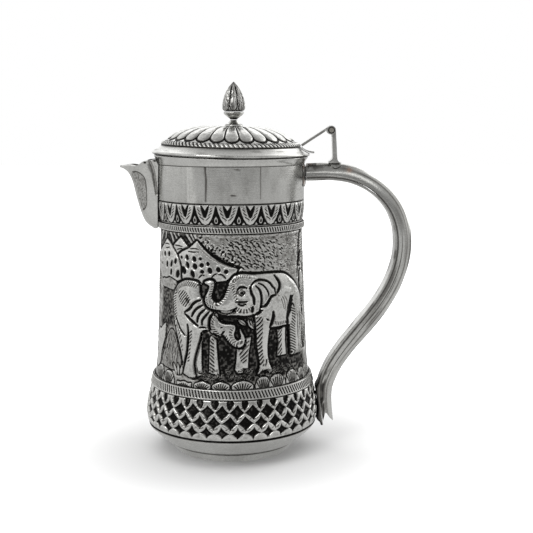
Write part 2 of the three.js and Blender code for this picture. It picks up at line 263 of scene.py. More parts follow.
    def settle(self, reach=3):
        """Tarnish gathers in hollows and rubs off on edges."""
        blurred = self.rise.copy()
        for axis in (0, 1):
            for _ in range(2):
                pad = [(reach, reach) if k == axis else (0, 0) for k in range(2)]
                total = np.cumsum(np.pad(blurred, pad, "edge"), axis=axis)
                size = 2 * reach
                last = np.take(total, range(size, total.shape[axis]), axis)
                first = np.take(total, range(total.shape[axis] - size), axis)
                blurred = (last - first) / size
        hollow = blurred - self.rise
        self.dark = np.clip(self.dark + 1.4 * np.clip(hollow, -0.1, 0.4), 0, 1)
        return self


# ------------------------------------------------------------------ meshes

class Surface:
    """Points and faces of one piece, gathered patch by patch."""

    def __init__(self):
        self.points, self.dark, self.quads, self.caps, self.count = [], [], [], [], 0

    def patch(self, points, dark=0.0, ring=False, loop=False, flip=False):
        """A grid of points. ring joins the last column to the first, loop the last row."""
        rows, columns = points.shape[:2]
        index = self.count + np.arange(rows * columns).reshape(rows, columns)
        self.points.append(points.reshape(-1, 3))
        self.dark.append(np.broadcast_to(dark, (rows, columns)).ravel())
        self.count += rows * columns
        grid = np.hstack([index, index[:, :1]]) if ring else index
        grid = np.vstack([grid, grid[:1]]) if loop else grid
        corners = [grid[:-1, :-1], grid[:-1, 1:], grid[1:, 1:], grid[1:, :-1]]
        quads = np.stack(corners[::-1] if flip else corners, -1)
        self.quads.append(quads.reshape(-1, 4))
        return index

    def cap(self, line, flip=False):
        """One flat face over a closed line of points."""
        self.caps.append(list(line)[::-1] if flip else list(line))

    def strip(self, a, b):
        """Faces between two lines of points."""
        self.quads.append(np.stack([a[:-1], a[1:], b[1:], b[:-1]], -1))

    def slab(self, outer, inner, dark=0.0, flip=False):
        """A closed plate between two grids of points."""
        if flip:
            outer, inner = outer[:, ::-1], inner[:, ::-1]
            dark = np.broadcast_to(dark, outer.shape[:2])[:, ::-1]
        a = self.patch(outer, dark)
        b = self.patch(inner, 0.3, flip=True)
        for line in (np.s_[0, ::-1], np.s_[-1, :], np.s_[:, 0], np.s_[::-1, -1]):
            self.strip(a[line], b[line])

    def mesh(self, name, sharp=40):
        """The gathered faces as a mesh in metres, sharp where faces meet at over that angle."""
        mesh = bpy.data.meshes.new(name)
        points = np.vstack(self.points) * 0.001
        quads = np.vstack(self.quads)
        caps = [np.array(c) for c in self.caps]
        corners = np.concatenate([quads.ravel(), *caps]).astype(np.int32)
        sizes = np.concatenate([np.full(len(quads), 4), [len(c) for c in caps]])
        starts = np.concatenate([[0], np.cumsum(sizes)[:-1]]).astype(np.int32)
        mesh.vertices.add(len(points))
        mesh.vertices.foreach_set("co", points.astype(np.float32).ravel())
        mesh.loops.add(len(corners))
        mesh.loops.foreach_set("vertex_index", corners)
        mesh.polygons.add(len(starts))
        mesh.polygons.foreach_set("loop_start", starts)
        mesh.update(calc_edges=True)
        mesh.shade_smooth()
        mesh.set_sharp_from_angle(angle=math.radians(sharp))
        # The darkness of each point: patina, and painted shade in a few places.
        tarnish_and_painted_shade = mesh.attributes.new("tarnish_and_painted_shade", "FLOAT", "POINT")
        tarnish_and_painted_shade.data.foreach_set("value", np.concatenate(self.dark).astype(np.float32))
        return mesh

    def build(self, name, body, finish, sharp=40):
        finished(self.mesh(name, sharp), name, body, finish)


def block(rows, dark=0.0):
    """A closed solid between two equal rings of points."""
    skin = Surface()
    index = skin.patch(np.stack(rows), dark, ring=True)
    skin.cap(index[0], flip=True)
    skin.cap(index[-1])
    return skin


def prism(outline, width, dark=0.0):
    """An outline of (x, z) points with a width along Y."""
    line = np.asarray(outline, float)
    ahead = np.roll(line, -1, 0)
    area = np.sum(line[:, 0] * ahead[:, 1] - line[:, 1] * ahead[:, 0])
    line = line if area > 0 else line[::-1]
    return block([np.column_stack([line[:, 0], np.full(len(line), y), line[:, 1]])
                  for y in (width / 2, -width / 2)], dark)


def worked(base, join=(), cut=(), bevel=0.0, sharp=40):
    """The mesh of a solid with others joined to it or cut from it, and its edges rounded."""
    def placed(mesh):
        obj = bpy.data.objects.new("blank", mesh)
        bpy.context.scene.collection.objects.link(obj)
        return obj

    obj = placed(base if isinstance(base, bpy.types.Mesh) else base.mesh("blank"))
    used = [obj]
    for operation, tools in (("UNION", join), ("DIFFERENCE", cut)):
        for tool in tools:
            used.append(placed(tool.mesh("tool")))
            step = obj.modifiers.new(operation, "BOOLEAN")
            step.operation, step.object, step.solver = operation, used[-1], "EXACT"
    if bevel:
        step = obj.modifiers.new("edges", "BEVEL")
        step.width, step.segments = bevel * 0.001, 3
        step.limit_method, step.angle_limit = "ANGLE", math.radians(35)
    mesh = bpy.data.meshes.new_from_object(
        obj.evaluated_get(bpy.context.evaluated_depsgraph_get()))
    for item in used:
        bpy.data.objects.remove(item)
    mesh.shade_smooth()
    mesh.set_sharp_from_angle(angle=math.radians(sharp))
    return mesh


def finished(mesh, name, body, finish, nodes=None):
    """Hangs a piece on its body, with its finish and the CAD nodes it stands for."""
    obj = bpy.data.objects.new(name, mesh)
    bpy.context.scene.collection.objects.link(obj)
    slot, material = finish
    obj.data.materials.clear()
    obj.data.materials.append(material)
    nodes = nodes or [name]
    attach(obj, body)
    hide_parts(*nodes)


def around(s, radius, z):
    """Points at distance s round the body, at a radius and a height."""
    angle = s / ROUND_RADIUS
    return np.stack(np.broadcast_arrays(radius * np.sin(angle), -radius * np.cos(angle), z), -1)


def lathe(name, outline, body, finish, columns=224, place=None, wobble=0.0, sharp=40, dark=None):
    """A turned piece. The outline is [radius, z] pairs, outer side going up; rows of
    three, [radius, z, 1], are corners that stay sharp."""
    runs, run = [], []
    for point in outline + [outline[0]]:
        run.append(point[:2])
        if len(point) == 3 or point is outline[0]:
            if len(run) > 1:
                runs.append(curve(run, steps=4)[:-1])
            run = [point[:2]]
    line = np.vstack(runs)
    s = np.arange(columns) / columns * ROUND
    grid_s, radius = np.meshgrid(s, line[:, 0])
    z = np.repeat(line[:, 1:], columns, 1)
    radius = radius + wobble * noise(grid_s, z, 14, len(name), ROUND) * (radius > 1)
    points = around(grid_s, np.maximum(radius, 0), z)
    skin = Surface()
    skin.patch(place(points) if place else points,
               dark(radius, z, grid_s) if dark else 0.0, ring=True, loop=True)
    skin.build(name, body, finish, sharp)


def sheet_ring(name, relief, profile, thickness, finish, nodes=None, openings=()):
    """A closed ring, or part of one, of the jug's sheet. The profile is (radius, z) rows."""
    s, z = relief.s_line, relief.z_line
    full = abs((s[-1] - s[0]) + (s[1] - s[0]) - ROUND) < 1e-3
    radius = np.interp(z, *np.array(profile, float)[:, ::-1].T)
    outer = around(relief.s, radius[:, None] + relief.rise, relief.z)
    inner_z = np.linspace(z[-1], z[0], 6)[:, None]
    inner_radius = np.interp(inner_z, z, radius) - thickness
    inner = around(s[None], inner_radius, inner_z)
    inner_dark = np.full(inner.shape[:2], 0.2)
    skin = Surface()
    index = skin.patch(np.vstack([outer, inner]), np.vstack([relief.dark, inner_dark]),
                       ring=full, loop=True)
    if not full:
        skin.cap(index[:, 0])
        skin.cap(index[:, -1], flip=True)
    mesh = skin.mesh(name, sharp=50)
    if openings:
        mesh = worked(mesh, cut=openings, sharp=50)
    finished(mesh, name, "jug", finish, nodes)


def plate(name, outer, inner, dark, finish, flip=False, brass=None):
    """A thin curved piece of the jug between an outer and an inner grid of points."""
    skin = Surface()
    skin.slab(outer, inner, dark, flip)
    mesh = skin.mesh(name, sharp=45)
    if brass is not None:
        brass = brass[:, ::-1] if flip else brass
        spots = mesh.attributes.new("brass", "FLOAT", "POINT")
        spots.data.foreach_set("value", np.append(brass, 0 * brass).astype(np.float32))
    finished(mesh, name, "jug", finish)


# ------------------------------------------------------------------ materials

def silver(slot, gloss, bright=0.52, patchy=0.1, worn=0.55, grain=0.5, warm=0.0, scratches=0.3):
    """A slot and its silver, darkened by patina in the hollows and, in a few places, by painted
    shade and reflections, with patches, grain and polishing marks.
    """
    material = bpy.data.materials.new(slot)
    material.use_nodes = True
    tree = material.node_tree
    shader = tree.nodes["Principled BSDF"]

    def add(kind, inputs=(), **settings):
        made = tree.nodes.new("ShaderNode" + kind)
        for key, value in settings.items():
            setattr(made, key, value)
        for key, value in dict(inputs).items():
            if isinstance(value, bpy.types.NodeSocket):
                tree.links.new(value, made.inputs[key])
            else:
                made.inputs[key].default_value = value
        return made.outputs[0]

    def sums(operation, *values):
        return add("Math", dict(enumerate(values)), operation=operation)

    place = tree.nodes.new("ShaderNodeTexCoord").outputs["Object"]

    def cloud(scale, detail, stretch=(1, 1, 1)):
        where = add("Mapping", {"Vector": place, "Scale": stretch})
        return add("TexNoise", {"Vector": where, "Scale": scale, "Detail": detail})

    def spread(value, low, high):
        return add("MapRange", {"Value": value, "From Min": 0.3, "From Max": 0.7,
                                "To Min": low, "To Max": high})

    blotches, specks = cloud(45, 4), cloud(900, 2)
    rubbed = cloud(140, 5, (1, 1, 12))
    tarnish_and_painted_shade = tree.nodes.new("ShaderNodeAttribute")
    tarnish_and_painted_shade.attribute_name = "tarnish_and_painted_shade"
    tarnish_and_painted_shade = sums("ADD", tarnish_and_painted_shade.outputs["Fac"], spread(blotches, -0.02, patchy))
    tarnish_and_painted_shade = sums("ADD", tarnish_and_painted_shade, spread(specks, -0.05, 0.07))
    tarnish_and_painted_shade = add("Clamp", {"Value": tarnish_and_painted_shade})
    clean = (bright + 0.012 * warm, bright, bright - 0.02 - 0.02 * warm, 1)
    black = (0.010, 0.0095, 0.009, 1)
    ramp = add("ValToRGB", {"Fac": tarnish_and_painted_shade})
    bar = ramp.node.color_ramp
    bar.elements[0].color, bar.elements[1].color = clean, black
    middle = bar.elements.new(0.5)
    middle.color = (bright * 0.32, bright * 0.31, bright * 0.29, 1)
    brass = tree.nodes.new("ShaderNodeAttribute")
    brass.attribute_name = "brass"
    mix = tree.nodes.new("ShaderNodeMix")
    mix.data_type = "RGBA"
    tree.links.new(brass.outputs["Fac"], mix.inputs["Factor"])
    tree.links.new(ramp, mix.inputs["A"])
    mix.inputs["B"].default_value = (0.44, 0.27, 0.19, 1)
    tree.links.new(mix.outputs["Result"], shader.inputs["Base Color"])
    finish = sums("MULTIPLY_ADD", tarnish_and_painted_shade, worn - gloss, gloss)
    finish = sums("ADD", finish, spread(rubbed, -0.04, 0.06))
    tree.links.new(finish, shader.inputs["Roughness"])
    shader.inputs["Metallic"].default_value = 1.0
    marks = sums("ADD", sums("MULTIPLY", specks, grain), sums("MULTIPLY", rubbed, scratches))
    bump = add("Bump", {"Height": marks, "Strength": 0.35, "Distance": 0.00012})
    tree.links.new(bump, shader.inputs["Normal"])
    return slot, material


POLISHED = silver("polished_silver", gloss=0.18, patchy=0.14, grain=0.3, scratches=0.6)
SATIN = silver("satin_silver", gloss=0.27, bright=0.54, patchy=0.16, grain=0.6)
CHASED = silver("chased_silver", gloss=0.22, bright=0.56, patchy=0.12, worn=0.62)
DULL = silver("dull_metal", gloss=0.42, bright=0.34, patchy=0.3, warm=1.0)


# ------------------------------------------------------------------ foot and bowl

lathe("base_plate", [[0, 0.6, 1], [20, 0.5], [35, 0.2], [37.6, 0, 1], [37.6, 1.4, 1], [0, 1.4, 1]],
      "jug", SATIN, columns=96)

# The foot ring's top is painted darker where it meets the bowl, a soft painted dark reflection in
# the hollow of the joint.
lathe("foot_ring", [[37.9, 0, 1], [38.9, 0, 1], [39.4, 0.5], [40.2, 1.7], [41.4, 3.2], [42.6, 4.9],
                    [43.0, 5.6], [42.8, 5.9, 1], [40.6, 5.9, 1], [37.9, 2.2, 1]],
      "jug", SATIN, wobble=0.08,
      dark=lambda r, z, s: 0.4 * soft(z, 4.8, 5.8))

# The bowl's lowest part is painted darker as a soft painted dark reflection in the hollow over the
# foot ring; the dark line at its top is the joint with the skirt.
lathe("base_bowl", [[43.0, 6.2, 1], [43.9, 6.4], [45.6, 7.3], [48.6, 9.7], [52.0, 12.7],
                    [54.9, 15.6],
                    [56.2, 17.0], [56.9, 18.1], [56.7, 18.7, 1], [54.8, 18.7, 1],
                    [49.8, 13.0, 1], [46.0, 9.8, 1], [40.8, 6.2, 1]],
      "jug", SATIN, wobble=0.12,
      dark=lambda r, z, s: 0.45 * (1 - soft(z, 6.3, 8.4)) + soft(z, 18.0, 18.7))


# ------------------------------------------------------------------ patterned rings

def repeated(relief, count, shift=0.0, wrap=ROUND):
    """One repeat of a pattern, carried all round."""
    pitch = wrap / count
    s = np.concatenate([relief.s_line + k * pitch for k in range(count)]) + shift
    whole = Relief(s, relief.z_line)
    whole.rise, whole.dark = np.tile(relief.rise, count), np.tile(relief.dark, count)
    return whole


def one_repeat(count, low, high, columns, rows, tarnish_and_painted_shade=0.0):
    """An empty sheet for one of count repeats, with s = 0 in its middle."""
    columns, rows = columns // COARSE, rows // COARSE
    s = ((np.arange(columns) + 0.5) / columns - 0.5) * ROUND / count
    return Relief(s, np.linspace(low, high, rows), tarnish_and_painted_shade)


def net_of_stars():
    """Rows of four-pointed holes, sunk but not cut through and painted dark as the shade inside
    them, with a rounded, interlaced net between them.
    """
    count = 36
    pitch = ROUND / count
    columns = count * 26 // COARSE
    net = Relief(np.arange(columns) / columns * ROUND, np.linspace(19.0, 48.3, 90 // COARSE), 0.05)
    s = net.s - 0.3 + 0.55 * noise(net.s, net.z, 5, 51, ROUND)
    z = net.z + 0.5 * noise(net.s, net.z, 4.5, 52, ROUND)
    nearest = np.full(s.shape, 9.0)
    # height of the centre, offset in repeats, width, reach up, reach down, hollowness
    for row, offset, width, up, down, power in (
            (24.6, 0.5, 8.2, 4.4, 4.3, 0.70), (31.0, 0.0, 8.5, 4.8, 4.5, 0.80),
            (37.8, 0.5, 8.4, 4.6, 4.8, 0.90), (43.6, 0.0, 4.2, 2.8, 3.8, 1.5)):
        u = np.mod(s - offset * pitch + pitch / 2, pitch) - pitch / 2
        v = z - row
        size = np.abs(2 * u / width) ** power + np.abs(np.where(v > 0, v / up, v / down)) ** power
        nearest = np.minimum(nearest, size)
    # The holes are painted shade: sunk and painted dark, a little lighter in random patches.
    hole = 1 - soft(nearest, 0.88, 1.04)
    grain = noise(net.s, net.z, 1.4, 53, ROUND)
    net.rise += 0.55 * dome(soft(nearest, 0.95, 1.5)) - (0.9 + 0.25 * grain) * hole
    net.dark = np.maximum(net.dark, (0.93 - 0.22 * np.maximum(grain, 0)) * hole)
    # Where one strand passes under the next, a short painted shadow line, in a slight groove,
    # follows its edge.
    for row, offset in ((27.6, 0.0), (34.2, 0.5), (40.6, 0.0)):
        for side in (-1, 1):
            u = np.mod(s - offset * pitch - side * 1.0 + pitch / 2, pitch) - pitch / 2
            away = np.abs(u * 0.5 - 0.85 * (z - row) - side * 0.3)
            line = (1 - soft(away, 0.1, 0.5)) * (1 - soft(np.hypot(u, z - row), 1.0, 2.0))
            net.rise -= 0.2 * line
            net.dark = np.maximum(net.dark, 0.6 * line)
    edge = np.maximum(soft(net.z, 44.6, 45.3), 1 - soft(net.z, 19.3, 20.0))
    net.rise -= 0.5 * edge
    net.dark = np.maximum(net.dark, edge)
    return net


def pointed_leaves():
    """A frieze of hanging leaves, with a drop and two small points between each pair."""
    count = 21
    half = ROUND / count / 2
    leaf = one_repeat(count, 152.6, 168.6, 48, 54, 1.0)
    for side in (-1, 1):
        drop = np.array([(0, 161.8), (1.2, 159.6), (1.4, 158.2), (0.9, 156.9), (0, 156.3),
                         (-0.9, 156.9), (-1.4, 158.2), (-1.2, 159.6)]) + [side * half, 0]
        leaf.lift([drop], 0.35, 0.6, 0.0, 0.2)
        middle = drop.mean(0)
        leaf.sink([middle + 0.5 * (drop - middle)], 0.3, 1.0, 0.4)
        leaf.lift([np.array([(-1.5, 155.8), (0, 157.8), (1.5, 155.8)]) + [side * 4.2, 0]],
                  0.3, 0.6, 0.0, 0.2)
    leaf.lift([[(-7.0, 167.7), (-6.0, 163.6), (-4.5, 159.7), (-2.3, 156.5), (0, 155.3),
                (2.3, 156.5), (4.5, 159.7), (6.0, 163.6), (7.0, 167.7)]], 0.5, 1.4, 0.0, 0.2)
    for side in (-1, 1):
        leaf.hatch([(side * s, z) for s, z in ((5.5, 166.8), (4.7, 163.2), (3.2, 159.6),
                                               (1.0, 157.6),
                    (0.1, 159.2), (1.7, 160.8), (2.9, 163.8), (3.9, 167))],
                   side * 38, 1.3, 0.85, edge=0.4)
    leaf.sink([[(-3.1, 168), (-2.3, 164.2), (-1.0, 160.6), (0, 160.0), (1.0, 160.6),
                (2.3, 164.2), (3.1, 168)]], 0.55, 1.0, 0.4)
    leaf.lift([[(-2.3, 168), (0, 164.6), (2.3, 168)]], 0.4, 0.8, 0.0, 0.2)
    for z, light in ((155.1, 0.25), (167.9, 0.0)):
        share = 1 - soft(np.abs(leaf.z - z), 0.15, 0.4)
        leaf.rise += 0.2 * share
        leaf.dark += (light - leaf.dark) * share
    return repeated(leaf, count, -0.8)


def slanted_strokes(low, high, count=156):
    """A border of short slanted cuts between two plain edges."""
    band = one_repeat(count, low, high, 6, 22)
    middle, reach = (low + high) / 2, (high - low) / 2
    u = np.mod(band.s + 0.32 * (band.z - middle) + 5.5 * ROUND / count, ROUND / count)
    u = np.abs(u - ROUND / count / 2)
    inside = 1 - soft(np.abs(band.z - middle), reach * 0.60, reach * 0.80)
    cut = (1 - soft(u, 0.30, 0.62)) * inside
    edge = soft(np.abs(band.z - middle), reach * 0.86, reach * 0.97)
    band.rise = 0.3 * dome((reach - np.abs(band.z - middle)) / 0.7) - 0.45 * cut - 0.1 * inside
    band.dark = np.maximum(cut, edge)
    return repeated(band, count)


def patterned(name, relief, profile, thickness, seed):
    """A ring of repeated ornament, with the unevenness of hand work."""
    relief.rough(4.0, 0.07, 0.12, seed)
    relief.rough(1.3, 0.04, 0.14, seed + 1)
    sheet_ring(name, relief.settle(2), profile, thickness, CHASED)


patterned("lattice_skirt", net_of_stars(), [(56.3, 19.0), (57.1, 21.5), (57.8, 26), (57.5, 31),
          (56.4, 37), (54.7, 43.4), (53.2, 48.3)], 1.5, 21)
patterned("skirt_border_wire", slanted_strokes(45.6, 51.9), [(54.95, 45.6), (55.0, 46.4),
          (53.9, 50.8), (53.3, 51.9)], 0.6, 23)
patterned("drum_border_wire", slanted_strokes(150.4, 154.6), [(48.3, 150.4), (48.5, 152.5),
          (48.3, 154.6)], 0.5, 25)
patterned("leaf_band", pointed_leaves(), [(46.9, 152.6), (47.0, 155), (47.7, 161), (48.2, 168.6)],
          1.3, 27)


# ------------------------------------------------------------------ the chased landscape

# Every outline and line of the drawing is (s, z) in millimetres.
NEAR_ELEPHANT = {
    "body": [(14, 124.9), (20, 124.8), (28, 124.7), (36, 124.2), (41, 122.8), (46, 119.8),
             (50, 116.8), (54, 112.8), (57, 108), (58, 100), (57.5, 92), (50, 89.5), (39, 90.2),
             (33, 90), (26.8, 90.2), (20, 92), (16.8, 95), (15.5, 99.5), (8, 99.6), (3, 103),
             (0, 108), (-0.5, 118), (1.5, 122), (5, 124.6), (9, 125.4)],
    "trunk": [(5, 124.6), (1.5, 122), (-0.3, 118.5), (-2.2, 113.5), (-4, 109.8), (-7, 107.3),
              (-9.8, 108.2), (-11.1, 111), (-10.2, 115), (-9.4, 118.6), (-9.9, 120.7),
              (-12.2, 121.3), (-15.5, 120.2), (-15.6, 119), (-12.8, 117.4), (-13.6, 114.2),
              (-15.2, 111), (-15.6, 107.6), (-13.8, 104.4), (-10, 102.8), (-5, 102.3),
              (-1.5, 101.9), (4, 103.2), (10, 108), (10, 120)],
    "jaw": [(-2.8, 98.7), (0, 100.2), (4, 101.6), (10, 103), (15, 102), (15, 99.4), (10, 98.5),
            (5, 99.1), (0, 99.2)],
    "foreleg": [(16.8, 96), (17.1, 88), (17.6, 78), (19, 68), (18.6, 63.5), (17.4, 60.6),
                (21, 62.9), (23.6, 62.8), (25.5, 61.4), (27.4, 62.8), (25.4, 68), (24.6, 75),
                (25.1, 83), (26.6, 90.5), (28, 95), (20, 98)],
    "hind leg": [(43.4, 96), (43.2, 85), (43.2, 77), (43.3, 70.3), (50, 69.6), (57, 70.2),
                 (57.4, 80), (57.6, 92), (58, 100), (50, 104), (45, 101)],
}
NEAR_FAR_LEGS = [
    [(4.8, 77.6), (8.6, 77.2), (10.6, 79.6), (10.4, 84.5), (13.8, 85.2), (13, 80), (12, 74),
     (11.6, 65), (8.2, 65.2), (8.5, 62.5), (5, 62), (3.4, 64.6), (4.2, 70)],
    [(32.4, 88), (34.5, 87.8), (36.5, 88.5), (39.2, 89.8), (38.8, 80), (39.2, 71), (31.6, 71),
     (33.2, 79)],
]
NEAR_FOLD = [(42.6, 109.3), (46.6, 108.9), (45, 106.8), (45.8, 105.6), (44.2, 104.2),
             (44.9, 102.5), (43.4, 101.2), (43.9, 99), (42, 97), (41, 94.5), (42, 91),
             (43.3, 86), (43.4, 71), (41, 71), (41.2, 80), (40.9, 86), (39.6, 91), (38.7, 95.5),
             (39.3, 100.5), (41, 104.6)]
NEAR_LINES = [  # width, then the line
    (1.7, [(30.2, 123.3), (32.6, 120.2), (33.8, 117.5), (33.1, 114.2), (30.4, 111)]),
    (1.7, [(30, 111), (27, 109.8), (25.4, 107.4), (23.4, 104.9), (20.5, 104)]),
    (1.2, [(13, 116.2), (14.6, 119), (17, 120.8), (20.5, 121.2), (24.4, 120.2), (26.8, 118.4),
           (28.4, 116.2), (29.8, 114.8), (30.2, 111.8)]),
    (1.5, [(13.1, 116.8), (13.9, 113), (15.3, 110), (15.6, 106)]),
    (1.5, [(14.7, 104.4), (14.5, 101)]),
    (1.3, [(16.8, 117.6), (19.2, 115), (20.3, 111), (20.4, 107), (19.6, 103), (19, 100)]),
    (0.9, [(18.5, 119.2), (21.5, 117.8), (24, 115), (25.2, 112.4), (25.3, 110.4)]),
    (1.8, [(16.8, 99.2), (18.8, 100.4), (20.6, 101.6)]),
    (0.9, [(4.2, 107.8), (7.6, 107.7), (11.2, 108)]),
    (0.9, [(5.6, 106.3), (8, 105.6), (10.4, 106.3)]),
    (1.0, [(5.2, 115.6), (6.6, 117.2), (8.8, 117.4), (10.8, 116.6)]),
    (1.3, [(-6, 101.4), (-1, 101.1), (3.2, 102.9), (4.6, 104)]),
    (1.9, [(28.4, 100.2), (28.5, 97), (27.5, 93.2), (26.5, 90.5)]),
    (1.0, [(53.2, 98), (53.6, 92), (53, 85)]),
    (0.6, [(50.4, 96), (50.2, 84), (50.6, 73)]),
    (0.7, [(23.6, 96.2), (25.4, 95)]),
    (0.7, [(22.4, 66), (23, 68), (23.2, 70)]),
]

LOWERED_ELEPHANT = {
    "body": [(-39.3, 113.3), (-36.6, 116.6), (-33.4, 118.8), (-30, 120.1), (-26, 120.4),
             (-22, 119.9), (-19.8, 118.6), (-19.3, 113), (-18, 109.5), (-16.8, 108.6),
             (-15.4, 105.5), (-13, 103), (-10.4, 101), (-9, 98), (-11.8, 97), (-12.3, 92),
             (-11.4, 89.2), (-17, 90), (-24, 90.5), (-30, 88), (-36, 90), (-38.8, 91),
             (-39.8, 97), (-40.6, 103), (-41.2, 108), (-40.5, 111.5)],
    "hind leg": [(-39, 95), (-37.8, 88.5), (-36, 83.5), (-33.6, 76.5), (-31.8, 70),
                 (-30.4, 66.3), (-29.6, 68.5), (-28.6, 75), (-28, 85), (-28, 93)],
    "foreleg": [(-27, 92), (-26.6, 85), (-27.3, 75), (-28.8, 68), (-30, 62.5), (-30, 60),
                (-26, 58.3), (-22, 58.2), (-21.6, 62), (-22.6, 66.5), (-21.8, 72), (-20, 78),
                (-18.6, 83), (-17.8, 88), (-14, 90.5), (-18, 93)],
}
LOWERED_FAR_LEGS = [
    [(-18.3, 81), (-17.7, 81), (-17.6, 70), (-17.2, 63), (-16, 61.5), (-18, 59.8),
     (-20.5, 60), (-21.2, 63), (-21.6, 67), (-20.9, 72), (-19.6, 77)],
    [(-12.3, 84.5), (-11.2, 86), (-8, 83.3), (-7.7, 78), (-7.2, 72), (-6.6, 66), (-6, 61),
     (-9, 61.3), (-12.8, 62), (-12.6, 72)],
]
LOWERED_HEAD = [(-8.6, 98.6), (-10.6, 98.2), (-11.8, 95), (-11.6, 91.5), (-10, 88.6),
                (-7.2, 86.6), (-5, 85.9), (-3.6, 86.6), (-1.8, 84.3), (0.4, 81.6), (3, 79.5),
                (5.8, 78.7), (8.4, 79.9), (9.6, 82.8), (9.2, 86), (7.6, 89), (6.9, 91),
                (6.3, 89.4), (7.2, 86.4), (6.8, 84), (5.2, 83.2), (3.6, 84.6), (3, 87.5),
                (3.8, 90), (3.6, 92.6), (1, 93.6), (-3, 93.8), (-6, 95.2)]
LOWERED_LINES = [
    (1.2, [(-38.2, 97.6), (-35.6, 93), (-32.6, 88), (-29, 84.5)]),
    (1.5, [(-27.4, 92), (-27.3, 85), (-28, 75), (-29.6, 68), (-30.8, 61)]),
    (1.2, [(-17.9, 87.4), (-19, 82), (-20.6, 76.5), (-22.1, 71), (-22.5, 66), (-21.6, 60.6)]),
    (1.2, [(-19.3, 61.2), (-17.8, 61), (-16.2, 61.8)]),
    (1.2, [(-19, 90.8), (-16.5, 91), (-14, 91)]),
    (1.6, [(-18.4, 108.4), (-21, 107.4), (-23.8, 105.2), (-25.6, 102.6), (-29.4, 99.8)]),
    (1.8, [(-29, 98.6), (-26.4, 96.6), (-23.6, 94.2), (-20.2, 92)]),
    (1.5, [(-17, 105.2), (-20.6, 103), (-22.8, 100.4), (-24.2, 97.6)]),
    (1.4, [(-15, 103), (-18.3, 100), (-20, 97), (-20.3, 94.2)]),
    (1.4, [(-12.6, 101.3), (-15.2, 98.2), (-17, 95.4), (-17.1, 92.6)]),
    (1.4, [(-10.4, 100.4), (-12.4, 97), (-12.9, 92), (-11.6, 88.4), (-8, 86)]),
    (1.0, [(-5, 86.4), (-4, 88), (-3, 89.4)]),
    (0.8, [(-30, 59.6), (-28, 58.6), (-26.4, 57.8), (-22.4, 58)]),
]

HILLS = [  # back to front: outline, lines across the cap, mouths of the dimples
    ([(-35, 147), (-31.5, 144), (-27.5, 140.8), (-31, 136), (-37, 134), (-42.5, 141)],
     [[(-40.5, 141.6), (-36, 141.6), (-33, 141.2)], [(-38, 139), (-34, 140), (-33, 139.4)]], []),
    ([(-50, 145), (-47, 143.4), (-44.6, 141.4), (-41, 138), (-38.4, 135.4), (-35, 131.4),
      (-31.4, 128.6), (-31, 121), (-37, 119), (-58, 119), (-67, 126), (-66, 136), (-62, 137),
      (-56, 140.5), (-53, 143)],
     [[(-53, 141.4), (-49, 141.8), (-47, 141.4)], [(-51, 139), (-48.5, 139.2), (-46.4, 139.8)]],
     [(-52.4, 135, 3.2, 3), (-46.8, 135.4, 2.8, 3.2), (-49, 128.6, 2.8, 3.8),
      (-43.5, 129.4, 2.4, 4.4), (-39.5, 131.4, 2.4, 3.6), (-56.4, 128.4, 2, 2),
      (-44, 124, 2.4, 4), (-37.2, 123.4, 3.2, 5), (-58.5, 134, 2.6, 2.6),
      (-61, 129, 2.4, 2.6)]),
    ([(-21.6, 145.6), (-18, 142), (-15, 139.2), (-11, 136), (-6.5, 133), (-1, 130.6),
      (5.6, 128.6), (4, 124), (-2, 121), (-16, 119), (-33, 120), (-33, 128), (-36.6, 136),
      (-33, 138.4), (-27.6, 140.6)],
     [[(-26.6, 140.4), (-23, 140.6), (-20, 140.4)], [(-28, 138.6), (-24, 138.4), (-20, 138.7)]],
     [(-33.6, 134.4, 2, 2), (-28.8, 134.6, 2.4, 3.6), (-23.2, 134, 2.8, 3.6),
      (-18.8, 134.4, 2, 2), (-28.4, 130, 2.6, 4.2), (-22.7, 129.4, 3.2, 3.8),
      (-17.9, 130.4, 3, 2.6), (-13.6, 131.4, 2, 2.6), (-31.6, 126.2, 3.6, 4.8),
      (-24.5, 124.4, 3, 4.6), (-17.6, 126.2, 2.8, 2.4), (-12.3, 127.2, 3, 3.8),
      (-6.8, 128, 2.8, 3.2), (-1.8, 126.8, 2.8, 2.6)]),
]


